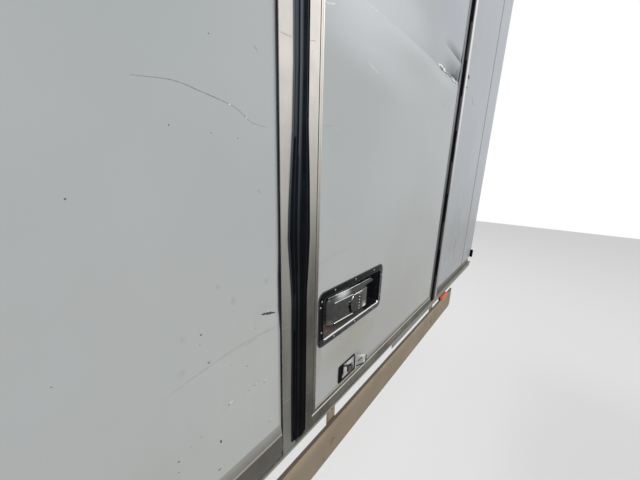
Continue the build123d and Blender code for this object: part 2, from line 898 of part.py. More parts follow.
def guard():
    """Side guard beam, its hangers and the marker lamp under the lip."""
    s = guard_sheet
    k = s * math.tan(math.pi / 8)
    d = s * math.sqrt(0.5)
    b = guard_bevel
    top = guard_top
    low = guard_bottom
    section = (
        (skin + b, top + b),
        (skin, top),
        (skin, low),
        (skin + b, low - b),
        (skin + b + d, low - b + d),
        (skin + s, low + k),
        (skin + s, top - k),
        (skin + b + d, top + b - d),
    )
    x0 = rear_end + guard_rear_inset
    x1 = front_end - guard_front_inset
    beam = lengthwise(section, x0, x1)
    corner = (
        (x1 + overshoot, low - b - overshoot),
        (x1 + overshoot, low + guard_corner - overshoot),
        (x1 - guard_corner_run, low - b - overshoot),
    )
    beam -= through(corner, skin - overshoot, skin + b + d + overshoot)
    keep("guard_beam", beam)
    y0 = skin + b + d + gasket_gap
    hangers = []
    places = (
        rear_end + hanger_rear_inset,
        leaf_x0 + hanger_door_inset,
        hinge_post_end - hanger_post_inset,
    )
    for x in places:
        w = hanger_width / 2
        bar = block(x - w, x + w, y0, y0 + hanger_thickness, low, 0)
        bar += block(x - w, x + w, y0, y0 + hanger_foot, -hanger_thickness, 0)
        hangers.append(bar)
    keep("guard_hangers", Compound(children=hangers))
    x = hinge_post_end + lamp_post_gap
    half = lamp_length / 2
    z1 = lamp_top
    z0 = z1 - lamp_height
    face = skin + lamp_setback
    base = block(x - half, x + half, face, face + lamp_base_depth, z0, z1)
    wide = lamp_bracket_width / 2
    back = face + lamp_base_depth
    base += block(x - wide, x + wide, back - lamp_bracket, back, z1, 0)
    keep("lamp_base", base)
    edge = lens_edge
    front = face - lamp_lens_depth
    x0 = x - half + edge
    x1 = x + half - edge
    keep("lamp_lens", rounded(x0, x1, z0 + edge, z1 - edge, front, face, lamp_corner))


floor_rail()
wall_panels()
top_rail()
kick_rail()
posts()
joints_and_edges()
sill()
door()
gaskets()
hinge()
lock_pan()
lock_cover()
paddle()
latch()
catch()
inside()
lamp_rail()
guard()
os.makedirs("parts", exist_ok=True)
for name, shape in bodies.items():
    export_step(shape, f"parts/{name}.step")
print("nodes", len(bodies))
print("hinge axis", hinge_x, skin)
print("paddle axis", paddle_axis())
print("flap axis", flap_axis())
print("paddle middle", paddle_middle, "bolt level", bolt_level())
print("release", release_x())
print("finger pocket", finger_x0, paddle_end, dish_x1, dish_z0, dish_z1)
print("span", rear_end, front_end, "bolts", bolt_spacing)
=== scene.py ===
import math
import random

import bmesh
import bpy
from mathutils import Matrix, Vector, noise


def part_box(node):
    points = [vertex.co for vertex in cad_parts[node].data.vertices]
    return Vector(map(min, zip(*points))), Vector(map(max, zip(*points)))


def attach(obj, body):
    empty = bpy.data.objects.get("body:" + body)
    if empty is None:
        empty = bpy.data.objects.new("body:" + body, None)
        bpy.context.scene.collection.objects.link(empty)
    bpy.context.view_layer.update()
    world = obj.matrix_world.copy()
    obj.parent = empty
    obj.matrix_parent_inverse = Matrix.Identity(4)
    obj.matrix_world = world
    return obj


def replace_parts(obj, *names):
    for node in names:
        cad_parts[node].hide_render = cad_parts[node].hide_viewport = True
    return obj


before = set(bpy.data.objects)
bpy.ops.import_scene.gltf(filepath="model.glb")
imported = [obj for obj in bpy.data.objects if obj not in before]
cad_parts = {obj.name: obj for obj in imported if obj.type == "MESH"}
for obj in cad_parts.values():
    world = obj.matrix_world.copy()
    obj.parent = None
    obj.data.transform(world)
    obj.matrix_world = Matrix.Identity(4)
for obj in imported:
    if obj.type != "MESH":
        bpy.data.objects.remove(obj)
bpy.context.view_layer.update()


# Fixed outer skins: the rear and front wall, the lintel and the rounded front corner.
# Each is a sandwich panel with a white glass-fibre skin about 2 mm thick, bonded to foam, so it
# dents where something strikes it. Road film gathers low down and rain leaves faint streaks.

def node(tree, kind, inputs=None, **settings):
    """Add a shader node, set its properties, and set or link its inputs."""
    added = tree.nodes.new(kind)
    for key, value in settings.items():
        setattr(added, key, value)
    for key, value in (inputs or {}).items():
        if isinstance(value, bpy.types.NodeSocket):
            tree.links.new(value, added.inputs[key])
        else:
            added.inputs[key].default_value = value
    return added


def sums(tree, operation, *values):
    """A Math node's result."""
    return node(tree, "ShaderNodeMath", dict(enumerate(values)), operation=operation).outputs[0]


def product(tree, value, *others):
    """Several values multiplied together."""
    for other in others:
        value = sums(tree, "MULTIPLY", value, other)
    return value


def vectors(tree, operation, *values):
    """A Vector Math node's outputs."""
    return node(tree, "ShaderNodeVectorMath", dict(enumerate(values)), operation=operation).outputs


def over(tree, mask, under, top):
    """The colour on top laid over the colour under it where the mask says."""
    mixed = node(tree, "ShaderNodeMix", {0: mask, 6: under, 7: top}, data_type="RGBA")
    return mixed.outputs[2]


def stretch(tree, value, low, high, to_low=0.0, to_high=1.0):
    """Map a value smoothly from one range to another, clamped."""
    sockets = {"Value": value, "From Min": low, "From Max": high, "To Min": to_low, "To Max": to_high}
    return node(tree, "ShaderNodeMapRange", sockets, interpolation_type="SMOOTHSTEP").outputs[0]


def clouds_at(tree, place, scale, detail, **more):
    """Soft noise at a place, as a value."""
    inputs = {"Vector": place, "Scale": scale, "Detail": detail, **more}
    return node(tree, "ShaderNodeTexNoise", inputs).outputs[0]


def drawn_lines(tree, place, scales, detail):
    """Noise drawn out into lines along the axes with the smaller scales, as a value."""
    scaled = node(tree, "ShaderNodeMapping", {"Vector": place, "Scale": scales}).outputs[0]
    return clouds_at(tree, scaled, 1.0, detail)


origin = (0.0, 0.0, 0.0)


def effect(name, **inputs):
    """Start a shader node group that gives a mask: its inputs' defaults, a triple for a vector."""
    tree = bpy.data.node_groups.new(name, "ShaderNodeTree")
    for label, default in {"Position": origin, **inputs}.items():
        kind = "NodeSocketVector" if isinstance(default, tuple) else "NodeSocketFloat"
        tree.interface.new_socket(label, in_out="INPUT", socket_type=kind).default_value = default
    tree.interface.new_socket("Mask", in_out="OUTPUT", socket_type="NodeSocketFloat")
    return tree, tree.nodes.new("NodeGroupInput").outputs, tree.nodes.new("NodeGroupOutput").inputs["Mask"]


def low_down_mask():
    """Strongest below Low and gone above High, broken up and streaked: road dirt and grease, and the colour
    that aluminium takes on low down, in places painted light and painted shade.
    """
    tree, given, mask = effect("low_down_mask", Low=0.0, High=1.0, Amount=0.5, Break=0.55)
    height = node(tree, "ShaderNodeSeparateXYZ", {0: given["Position"]}).outputs["Z"]
    fade = stretch(tree, height, given["High"], given["Low"])
    least = sums(tree, "SUBTRACT", 1.0, given["Break"])
    patch = stretch(tree, clouds_at(tree, given["Position"], 7.0, 5.0), 0.3, 0.75, least, 1.0)
    thinnest = sums(tree, "MULTIPLY_ADD", given["Break"], -0.36, 1.0)
    runs = drawn_lines(tree, given["Position"], (60.0, 60.0, 2.2), 3.0)
    streak = stretch(tree, runs, 0.35, 0.72, thinnest, 1.0)
    tree.links.new(product(tree, fade, patch, streak, given["Amount"]), mask)
    return tree


def hairlines():
    """Fine scratches: short thin lines along one direction of the skin."""
    tree, given, mask = effect("hairlines", Angle=0.3, Scale=9.0, Share=0.3)
    turned = {"Vector": given["Position"], "Angle": given["Angle"]}
    turn = node(tree, "ShaderNodeVectorRotate", turned, rotation_type="Y_AXIS").outputs[0]
    drawn = node(tree, "ShaderNodeMapping", {"Vector": turn, "Scale": (1.0, 24.0, 24.0)}).outputs[0]
    bent = node(tree, "ShaderNodeTexNoise", {"Vector": given["Position"], "Scale": 5.0}).outputs["Color"]
    lines = clouds_at(tree, vectors(tree, "ADD", drawn, bent)[0], given["Scale"], 1.0)
    near = sums(tree, "ABSOLUTE", sums(tree, "SUBTRACT", lines, 0.5))
    thin = stretch(tree, near, 0.008, 0.0)
    some = stretch(tree, clouds_at(tree, given["Position"], 6.0, 2.0), 0.62, 0.7)
    tree.links.new(product(tree, thin, some, given["Share"]), mask)
    return tree


def grit_specks():
    """Scattered small dots of tar and stone chips."""
    tree, given, mask = effect("grit_specks", Scale=40.0, Size=0.1, Share=0.2)
    cells = node(tree, "ShaderNodeTexVoronoi", {"Vector": given["Position"], "Scale": given["Scale"]})
    dot = sums(tree, "LESS_THAN", cells.outputs["Distance"], given["Size"])
    chance = node(tree, "ShaderNodeSeparateColor", {0: cells.outputs["Color"]}).outputs[0]
    kept = sums(tree, "LESS_THAN", chance, given["Share"])
    tree.links.new(product(tree, dot, kept), mask)
    return tree


def stain_and_light_patch():
    """A soft blot at one place, broken up by noise: for drips and rubbed patches, and for painted highlights,
    painted reflections and painted shade.
    """
    tree, given, mask = effect("stain_and_light_patch", Centre=origin, Reach=(0.1, 0.1, 0.1), Amount=0.5, Break=1.0)
    away = vectors(tree, "SUBTRACT", given["Position"], given["Centre"])[0]
    shared = vectors(tree, "DIVIDE", away, given["Reach"])[0]
    far = vectors(tree, "LENGTH", shared)["Value"]
    runs = drawn_lines(tree, given["Position"], (90.0, 90.0, 14.0), 4.0)
    rough = stretch(tree, runs, 0.3, 0.7, sums(tree, "SUBTRACT", 1.0, given["Break"]), 1.0)
    tree.links.new(product(tree, stretch(tree, far, 1.0, 0.1), rough, given["Amount"]), mask)
    return tree


def crease_shade():
    """Shade above a crease: sharp along its line, fading over Reach, and growing along the line."""
    line = {"Start": origin, "Along": origin, "Across": origin}
    tree, given, mask = effect("crease_shade", **line, Reach=0.1, Amount=0.5)
    away = vectors(tree, "SUBTRACT", given["Position"], given["Start"])[0]
    run = vectors(tree, "DOT_PRODUCT", away, given["Along"])["Value"]
    off = vectors(tree, "DOT_PRODUCT", away, given["Across"])["Value"]
    edge = stretch(tree, off, -0.001, 0.002)
    fade = stretch(tree, off, given["Reach"], 0.0)
    growth = product(tree, stretch(tree, run, 0.0, 0.75), stretch(tree, run, 1.03, 0.98))
    tree.links.new(product(tree, edge, fade, growth, given["Amount"]), mask)
    return tree


groups = {tree.name: tree for tree in (low_down_mask(), hairlines(), grit_specks(), stain_and_light_patch(), crease_shade())}


def effect_mask(tree, name, position, **inputs):
    """Put a shared effect into a material with this material's own values; its mask comes back."""
    used = tree.nodes.new("ShaderNodeGroup")
    used.node_tree = groups[name]
    tree.links.new(position, used.inputs["Position"])
    for key, value in inputs.items():
        used.inputs[key.replace("_", " ")].default_value = value
    return used.outputs[0]


def finish_of(name):
    """Start a material: its tree, its Principled shader and the position on the piece at rest."""
    material = bpy.data.materials.new(name)
    material.use_nodes = True
    tree = material.node_tree
    shader = tree.nodes["Principled BSDF"]
    position = node(tree, "ShaderNodeTexCoord").outputs["Object"]
    return material, tree, shader, position


def raise_by(tree, shader, height, distance, strength=1.0):
    """Bump from a height that changes over the surface."""
    bump = node(tree, "ShaderNodeBump", {"Height": height, "Distance": distance, "Strength": strength})
    tree.links.new(bump.outputs[0], shader.inputs["Normal"])


# The plane of the wall's outer skin, which most places below are measured from
cad_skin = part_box("rear_wall_panel")[0].y


def glass_fibre_skin(name, stains=(), tones=(), shades=(), base=(0.435, 0.455, 0.458)):
    """White gel-coated skin: faint clouds, broad tones that paint light, shade and reflection as well as
    dirt, painted shade above creases, road film, streaks, stains, hairlines and specks, with slow waves.
    """
    material, tree, shader, position = finish_of(name)
    clouds = clouds_at(tree, position, 2.4, 3.0)
    colour = over(tree, stretch(tree, clouds, 0.35, 0.65), (*(c * 0.94 for c in base), 1), (*base, 1))
    depth = node(tree, "ShaderNodeSeparateXYZ", {0: position}).outputs["Y"]
    outside = stretch(tree, depth, cad_skin + 0.030, cad_skin + 0.015)
    for centre, reach, amount, tint in tones:
        mask = effect_mask(tree, "stain_and_light_patch", position, Centre=centre, Reach=reach, Amount=amount, Break=0.0)
        colour = over(tree, sums(tree, "MULTIPLY", mask, outside), colour, tint)
    for start, stop, reach, amount, tint in shades:
        run = Vector((stop[0] - start[0], 0.0, stop[1] - start[1]))
        line = {"Start": (start[0], 0.0, start[1]), "Along": tuple(run / run.length_squared)}
        line["Across"] = tuple(Vector((-run.z, 0.0, run.x)) / run.length)
        mask = effect_mask(tree, "crease_shade", position, Reach=reach, Amount=amount, **line)
        colour = over(tree, sums(tree, "MULTIPLY", mask, outside), colour, tint)
    low_mask = effect_mask(tree, "low_down_mask", position, Low=0.05, High=0.85, Amount=0.6)
    colour = over(tree, low_mask, colour, (0.385, 0.380, 0.350, 1))
    for centre, reach, amount, tint in stains:
        mask = effect_mask(tree, "stain_and_light_patch", position, Centre=centre, Reach=reach, Amount=amount)
        colour = over(tree, sums(tree, "MULTIPLY", mask, outside), colour, tint)
    marks = effect_mask(tree, "hairlines", position, Angle=0.45, Scale=8.0, Share=0.35)
    colour = over(tree, marks, colour, (0.22, 0.235, 0.235, 1))
    specks = effect_mask(tree, "grit_specks", position, Scale=46.0, Size=0.055, Share=0.16)
    colour = over(tree, specks, colour, (0.12, 0.115, 0.10, 1))
    tree.links.new(colour, shader.inputs["Base Color"])
    dull = sums(tree, "MULTIPLY_ADD", low_mask, 0.25, 0.28)
    tree.links.new(sums(tree, "MULTIPLY_ADD", marks, 0.3, dull), shader.inputs["Roughness"])
    waves = clouds_at(tree, position, 3.2, 2.0)
    raise_by(tree, shader, sums(tree, "MULTIPLY_ADD", marks, -0.08, waves), 0.0016)
    shader.inputs["Specular IOR Level"].default_value = 0.12
    return material


def shaded(obj, angle=0.6):
    """Smooth shading, with edges kept sharp where faces meet at more than the angle."""
    obj.data.polygons.foreach_set("use_smooth", [True] * len(obj.data.polygons))
    obj.data.set_sharp_from_angle(angle=angle)
    return obj


def piece(name, bm, materials, body, angle=0.6):
    """Turn a finished mesh, in one material or several, into a piece that rides on its CAD body."""
    bmesh.ops.recalc_face_normals(bm, faces=bm.faces)
    mesh = bpy.data.meshes.new(name)
    bm.to_mesh(mesh)
    bm.free()
    for material in materials if isinstance(materials, tuple) else (materials,):
        mesh.materials.append(material)
    obj = bpy.data.objects.new(name, mesh)
    bpy.context.scene.collection.objects.link(obj)
    shaded(obj, angle)
    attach(obj, body)
    return obj


def lines_between(spans):
    """Places from a list of (start, end, pitch) spans, in metres."""
    places = []
    for start, end, pitch in spans:
        count = max(1, round((end - start) / pitch))
        places += [start + (end - start) * i / count for i in range(count)]
    return places


def skin_with_dents(node_name, name, material, body, columns, rows, depth):
    """The CAD panel with its outer face cut finer and pressed in by depth(x, z), in metres."""
    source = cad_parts[node_name].data
    bm = bmesh.new()
    bm.from_mesh(source)
    bmesh.ops.remove_doubles(bm, verts=bm.verts, dist=1e-6)
    face_y = min(v.co.y for v in bm.verts)
    near = 2e-4
    for axis, places in ((0, columns), (2, rows)):
        normal = Vector((0, 0, 0))
        normal[axis] = 1.0
        for at in places:
            faces = [f for f in bm.faces if all(v.co.y < face_y + near for v in f.verts)]
            edges = {e for f in faces for e in f.edges}
            verts = {v for f in faces for v in f.verts}
            bmesh.ops.bisect_plane(bm, geom=[*verts, *edges, *faces], plane_co=normal * at, plane_no=normal)
    for v in bm.verts:
        if v.co.y < face_y + near:
            v.co.y += depth(v.co.x, v.co.z)
    made = piece(name, bm, material, body)
    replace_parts(made, node_name)
    return made


def bowl(x, z, centre, radius):
    """Share of a round dent's depth at a point: 1 in the middle, 0 at its rim."""
    far = math.dist((x, z), centre) / radius
    return (1 - far * far) ** 2 if far < 1 else 0.0


def fold(x, z, line, below, above, ends=0.03):
    """Share of a crease's depth: 1 along a line of (x, z) points, fading over a width on each side."""
    start = line[0][0]
    stop = line[-1][0]
    if not start - ends < x < stop + ends:
        return 0.0
    at = min(max(x, start), stop)
    for (x0, z0), (x1, z1) in zip(line, line[1:]):
        if at <= x1:
            break
    level = z0 + (z1 - z0) * (at - x0) / (x1 - x0)
    off = z - level
    fade = max(0.0, 1 - abs(off) / (above if off > 0 else below))
    outside = max(start - x, x - stop, 0.0) / ends
    return fade * fade * (1 - outside)


# Round dents in the rear wall: centre (x, z), radius and depth, in metres
rear_dents = (
    ((-0.819, 0.391), 0.034, 0.0032),
    ((-0.853, 0.252), 0.011, 0.0016),
    ((-0.832, 0.245), 0.010, 0.0014),
    ((-0.866, 0.250), 0.009, 0.0010),
    ((-0.868, 0.269), 0.006, 0.0008),
    ((-0.909, 0.250), 0.015, 0.0022),
    ((-0.815, 0.139), 0.016, 0.0018),
    ((-0.890, 0.447), 0.010, 0.0006),
    ((-0.975, 0.363), 0.020, 0.0008),
)


def rear_depth(x, z):
    """How far the rear wall's skin is pressed in at a point."""
    dents = sum(size * bowl(x, z, centre, radius) for centre, radius, size in rear_dents)
    scuff = 0.0007 * fold(x, z, ((-0.93, 0.234), (-0.82, 0.262)), 0.02, 0.012)
    scrape = 0.0005 * fold(x, z, ((-1.0, 0.340), (-0.80, 0.360)), 0.03, 0.02)
    return dents + scuff + scrape


bruise = (0.27, 0.285, 0.285, 1)
skin_finish = glass_fibre_skin("panel_skin", [
    ((x, cad_skin, z), (reach, 0.05, reach), 0.4, bruise)
    for x, z, reach in (
        (-0.914, 0.478, 0.007), (-0.891, 0.445, 0.010), (-0.974, 0.415, 0.008), (-0.822, 0.460, 0.009),
        (-0.981, 0.360, 0.012),
    )
], (
    ((-0.850, cad_skin, 0.240), (0.150, 0.20, 0.240), 0.7, (0.480, 0.492, 0.475, 1)),
    ((-1.000, cad_skin, 0.900), (0.200, 0.20, 0.260), 0.6, (0.385, 0.412, 0.412, 1)),
))
# The front wall's copy of the skin is painted bluer and darker than the rear wall's, as painted reflection
# and shade, and its tone paints shade low down.
front_finish = glass_fibre_skin("front_skin", (
    ((0.700, cad_skin, 0.300), (0.600, 0.2, 0.500), 1.0, (0.300, 0.305, 0.300, 1)),
), base=(0.368, 0.398, 0.436))
rear_skin = skin_with_dents(
    "rear_wall_panel", "rear_skin", skin_finish, "wall",
    lines_between(((-1.22, -0.93, 0.03), (-0.93, -0.796, 0.004))),
    lines_between(((0.08, 0.43, 0.0045), (0.43, 2.17, 0.09))),
    rear_depth,
)
for name in ("front_wall_panel", "lintel_panel", "front_corner_panel"):
    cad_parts[name].data.materials.clear()
    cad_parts[name].data.materials.append(front_finish)


# Scratches and chips on the rear wall: a long curved scratch with two bright chips, two long
# scrapes, a torn gouge beside the joint, and stone chips through the white down to the dark mat.

def flat_finish(name, low, high, roughness, scale=300.0):
    """A finish of two close shades in small patches, for marks and small parts."""
    material, tree, shader, position = finish_of(name)
    grain = clouds_at(tree, position, scale, 3.0)
    colour = over(tree, stretch(tree, grain, 0.35, 0.65), (*low, 1), (*high, 1))
    tree.links.new(colour, shader.inputs["Base Color"])
    tree.links.new(sums(tree, "MULTIPLY_ADD", grain, 0.2, roughness - 0.1), shader.inputs["Roughness"])
    raise_by(tree, shader, grain, 0.0002)
    return material


def ribbon(bm, points, width, jitter, seed, depth=rear_depth, lift=0.00015):
    """A thin uneven strip along (x, z) points, lying just off the skin and tapering to its ends."""
    draw = random.Random(seed)
    left = []
    right = []
    for i, (x, z) in enumerate(points):
        before = Vector(points[max(0, i - 1)])
        after = Vector(points[min(len(points) - 1, i + 1)])
        along = (after - before).normalized()
        share = i / (len(points) - 1)
        half = width / 2 * (0.25 + 0.75 * math.sin(math.pi * share)) * draw.uniform(1 - jitter, 1 + jitter)
        for side, off in ((left, 1), (right, -1)):
            px = x - off * along.y * half
            pz = z + off * along.x * half
            side.append(bm.verts.new((px, cad_skin - lift + depth(px, pz), pz)))
    for i in range(len(points) - 1):
        bm.faces.new((left[i], left[i + 1], right[i + 1], right[i]))


def finer(points, pitch):
    """More points along a line of straight runs, rounded by a smooth curve through them."""
    fine = []
    for i in range(len(points) - 1):
        p0 = Vector(points[max(0, i - 1)])
        p1 = Vector(points[i])
        p2 = Vector(points[i + 1])
        p3 = Vector(points[min(len(points) - 1, i + 2)])
        steps = max(1, round((p2 - p1).length / pitch))
        for k in range(steps):
            t = k / steps
            a = 2 * p1 + (p2 - p0) * t + (2 * p0 - 5 * p1 + 4 * p2 - p3) * t ** 2
            b = (3 * p1 - p0 - 3 * p2 + p3) * t ** 3
            fine.append(tuple((a + b) / 2))
    return fine + [tuple(points[-1])]


long_scratch = (
    (-0.995, 0.750), (-0.952, 0.756), (-0.919, 0.752), (-0.878, 0.745), (-0.864, 0.740),
    (-0.851, 0.732), (-0.839, 0.726), (-0.812, 0.724),
)
long_scrape = (
    (-1.012, 0.334), (-0.984, 0.340), (-0.939, 0.348), (-0.892, 0.355), (-0.834, 0.358), (-0.803, 0.359),
)
scratches = bmesh.new()
ribbon(scratches, finer(long_scratch, 0.004), 0.0009, 0.3, 1)
ribbon(scratches, finer(long_scrape, 0.004), 0.0005, 0.5, 2)
for seed, ends in enumerate((
    ((-0.837, 0.3545), (-0.803, 0.3555)),
    ((-0.836, 0.625), (-0.825, 0.618)),
    ((-0.834, 0.832), (-0.825, 0.827)),
    ((-0.874, 0.3500), (-0.842, 0.3530)),
)):
    ribbon(scratches, finer(ends, 0.003), 0.0007, 0.5, 10 + seed)
scratch_finish = flat_finish("scratch_grey", (0.16, 0.165, 0.16), (0.27, 0.275, 0.27), 0.6)
piece("rear_skin_scratches", scratches, scratch_finish, "wall")


def chips(bm, spots, seed, depth=rear_depth, lift=0.0002):
    """Small ragged patches: (x, z, half length, half height), each a flat fan just off the skin."""
    draw = random.Random(seed)
    corners = 9
    for x, z, long, high in spots:
        rim = []
        for k in range(corners):
            turn = 2 * math.pi * k / corners
            reach = draw.uniform(0.6, 1.1)
            px = x + long * reach * math.cos(turn)
            pz = z + high * reach * math.sin(turn)
            rim.append(bm.verts.new((px, cad_skin - lift + depth(px, pz), pz)))
        bm.faces.new(rim)


dark_chips = bmesh.new()
chips(dark_chips, (
    (-0.930, 0.187, 0.0017, 0.0040), (-0.947, 0.410, 0.0016, 0.0016), (-0.950, 0.394, 0.0008, 0.0008),
    (-0.870, 0.307, 0.0013, 0.0011), (-0.901, 0.328, 0.0007, 0.0007), (-0.962, 0.227, 0.0012, 0.0010),
    (-0.979, 0.222, 0.0008, 0.0008), (-0.999, 0.212, 0.0020, 0.0014), (-1.001, 0.192, 0.0012, 0.0010),
    (-0.937, 0.129, 0.0032, 0.0013), (-0.939, 0.356, 0.0030, 0.0012), (-0.961, 0.705, 0.0008, 0.0012),
    (-0.908, 0.703, 0.0008, 0.0008), (-0.867, 0.701, 0.0009, 0.0007), (-0.902, 0.822, 0.0008, 0.0008),
    (-0.853, 0.2515, 0.0012, 0.0009), (-0.832, 0.2445, 0.0014, 0.0009), (-0.866, 0.2495, 0.0009, 0.0008),
    (-0.909, 0.2485, 0.0018, 0.0010), (-0.8205, 0.1365, 0.0014, 0.0008),
), 5)
chip_finish = flat_finish("chip_dark", (0.02, 0.02, 0.022), (0.07, 0.068, 0.065), 0.7)
piece("rear_skin_chips", dark_chips, chip_finish, "wall")

bright_chips = bmesh.new()
chips(bright_chips, ((-0.8775, 0.7445, 0.0015, 0.0011), (-0.8500, 0.7315, 0.0014, 0.0011)), 6)
bright_finish = flat_finish("chip_bright", (0.7, 0.7, 0.7), (0.9, 0.9, 0.9), 0.35)
piece("scratch_chips", bright_chips, bright_finish, "wall")

# Where a dent's rim catches the light
dent_lights = bmesh.new()
chips(dent_lights, (
    (-0.9045, 0.2520, 0.0040, 0.0030), (-0.8640, 0.2530, 0.0024, 0.0022), (-0.8505, 0.2550, 0.0028, 0.0024),
    (-0.8290, 0.2490, 0.0030, 0.0024), (-0.8170, 0.1425, 0.0034, 0.0022), (-0.8160, 0.3960, 0.0030, 0.0018),
), 8)
dent_light = flat_finish("dent_light", (0.52, 0.54, 0.54), (0.60, 0.62, 0.62), 0.4)
piece("rear_dent_lights", dent_lights, dent_light, "wall")

# The gouge beside the joint, torn along one line with a short branch
gouge = bmesh.new()
torn = ((-0.833, 0.3955), (-0.822, 0.3925), (-0.812, 0.3900), (-0.800, 0.3865))
ribbon(gouge, finer(torn, 0.0012), 0.0048, 0.35, 21, lift=0.0003)
ribbon(gouge, finer(((-0.819, 0.3925), (-0.816, 0.3870)), 0.001), 0.0024, 0.3, 22, lift=0.0003)
piece("rear_skin_gouge", gouge, chip_finish, "wall")


# Extruded aluminium: floor rail, lamp rail, top rail, header, posts, end channel and cargo rails.
# The anodised face has gone dull, changes colour towards the bottom, mostly darker and browner, and is rubbed
# bright along its ribs.

def worn_edges():
    """Where corners of a piece are rubbed: the shading normal is bent there, broken up by noise."""
    tree, given, mask = effect("worn_edges", Radius=0.001, Amount=1.0)
    rounded = node(tree, "ShaderNodeBevel", {"Radius": given["Radius"]}, samples=6).outputs[0]
    straight = node(tree, "ShaderNodeNewGeometry").outputs["Normal"]
    edge = stretch(tree, vectors(tree, "DOT_PRODUCT", rounded, straight)["Value"], 0.995, 0.85)
    broken = stretch(tree, clouds_at(tree, given["Position"], 90.0, 4.0), 0.3, 0.6)
    tree.links.new(product(tree, edge, broken, given["Amount"]), mask)
    return tree


groups["worn_edges"] = worn_edges()


def dull_aluminium(
        name, base, low_colour, tone_low, tone_top, tone_amount, roughness=0.42, rub=(0.62, 0.60, 0.56), shine=0.5):
    """Weathered anodised extrusion: drawn lines, oxide clouds, a second colour that takes over low down,
    rubbed edges.
    """
    material, tree, shader, position = finish_of(name)
    lines = drawn_lines(tree, position, (700.0, 700.0, 6.0), 2.0)
    clouds = clouds_at(tree, position, 14.0, 5.0)
    darker = tuple(c * 0.84 for c in base)
    colour = over(tree, stretch(tree, clouds, 0.3, 0.7), (*darker, 1), (*base, 1))
    reach = {"Low": tone_low, "High": tone_top, "Amount": tone_amount}
    low_mask = effect_mask(tree, "low_down_mask", position, Break=0.12, **reach)
    colour = over(tree, low_mask, colour, (*low_colour, 1))
    marks = effect_mask(tree, "hairlines", position, Angle=0.25, Scale=14.0, Share=0.5)
    colour = over(tree, marks, colour, (*(c * 0.55 for c in low_colour), 1))
    specks = effect_mask(tree, "grit_specks", position, Scale=120.0, Size=0.09, Share=0.06)
    colour = over(tree, specks, colour, (0.05, 0.045, 0.04, 1))
    edge = effect_mask(tree, "worn_edges", position, Radius=0.0012, Amount=0.75)
    colour = over(tree, edge, colour, (*rub, 1))
    tree.links.new(colour, shader.inputs["Base Color"])
    rough = sums(tree, "MULTIPLY_ADD", clouds, 0.2, roughness - 0.1)
    tree.links.new(sums(tree, "MULTIPLY_ADD", low_mask, 0.2, rough), shader.inputs["Roughness"])
    raise_by(tree, shader, sums(tree, "MULTIPLY_ADD", marks, -0.6, lines), 0.0001, 0.6)
    shader.inputs["Metallic"].default_value = 0.35
    shader.inputs["Specular IOR Level"].default_value = shine
    return material


rail_finish = dull_aluminium("anodised_rail", (0.50, 0.48, 0.44), (0.175, 0.168, 0.145), 0.1, 0.75, 0.9)
post_finish = dull_aluminium("anodised_post", (0.90, 0.86, 0.81), (0.092, 0.092, 0.077), 0.22, 1.14, 1.0)
frame_finish = dull_aluminium("anodised_frame", (0.95, 0.91, 0.84), (0.035, 0.032, 0.020), 0.30, 1.09, 1.0)
far_finish = dull_aluminium("anodised_far_post", (0.82, 0.82, 0.82), (0.27, 0.265, 0.25), 0.25, 1.25, 0.95)
hinge_finish = dull_aluminium(
    "dark_hinge", (0.055, 0.056, 0.060), (0.028, 0.028, 0.027), 0.1, 1.2, 0.8, 0.6, (0.09, 0.09, 0.09), 0.02)
# The hinge stile's edge and step: the anodised frame painted darker, as painted shade.
hinge_edge_finish = dull_aluminium(
    "anodised_hinge_edge", (0.155, 0.160, 0.175), (0.055, 0.055, 0.053), 0.4, 1.1, 1.0, 0.5,
    (0.20, 0.20, 0.21))
hinge_step_finish = dull_aluminium(
    "anodised_hinge_step", (0.33, 0.34, 0.36), (0.13, 0.13, 0.125), 0.4, 1.1, 1.0, 0.5, (0.36, 0.36, 0.37))


def dress(material, *names):
    """Give CAD nodes of the right shape their finish."""
    for name in names:
        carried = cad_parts[name]
        carried.data.materials.clear()
        carried.data.materials.append(material)


dress(rail_finish, "floor_rail", "lamp_rail", "top_rail", "rear_end_channel", "cargo_rails")
dress(post_finish, "latch_post", "header_rail")
dress(far_finish, "hinge_post")
dress(hinge_finish, "hinge_leaf_fixed")


# Kick rail at the rear wall's foot: one extrusion with a sloped shoulder, a flat and a stepped foot.
# Each band is the aluminium in its own shade: the shoulder pale for dust and painted light from above, its
# edge a painted highlight, the flat and the steps below dark for grime and painted shade, their lips lighter
# as painted light.

def banded(node_name, name, materials, cuts, band):
    """The CAD rail with its face cut into bands at the heights given, each with a material."""
    bm = bmesh.new()
    bm.from_mesh(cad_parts[node_name].data)
    for cut in cuts:
        everything = [*bm.verts, *bm.edges, *bm.faces]
        bmesh.ops.bisect_plane(bm, geom=everything, dist=1e-6, plane_co=(0, 0, cut), plane_no=(0, 0, 1))
    for face in bm.faces:
        face.material_index = band(face.calc_center_median())
    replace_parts(piece(name, bm, materials, "wall"), node_name)


kick_cuts = (0.0840, 0.0795, 0.0462, 0.0442, 0.0365, 0.0290, 0.0240, 0.0200)
kick_dust_and_lit_shoulder = dull_aluminium("kick_dust_and_lit_shoulder", (0.38, 0.38, 0.35), (0.175, 0.165, 0.145), 0.078, 0.118, 1.0)
kick_edge_highlight = dull_aluminium("kick_edge_highlight", (0.5, 0.5, 0.5), (0.33, 0.32, 0.30), 0.1, 0.75, 1.0)
kick_flat = dull_aluminium("kick_flat", (0.3, 0.3, 0.3), (0.069, 0.060, 0.052), 0.1, 0.75, 1.0)
kick_step_shade = dull_aluminium("kick_step_shade", (0.3, 0.3, 0.3), (0.045, 0.041, 0.036), 0.1, 0.75, 1.0)
kick_lit_lip = dull_aluminium("kick_lit_lip", (0.3, 0.3, 0.3), (0.105, 0.100, 0.094), 0.1, 0.75, 1.0)


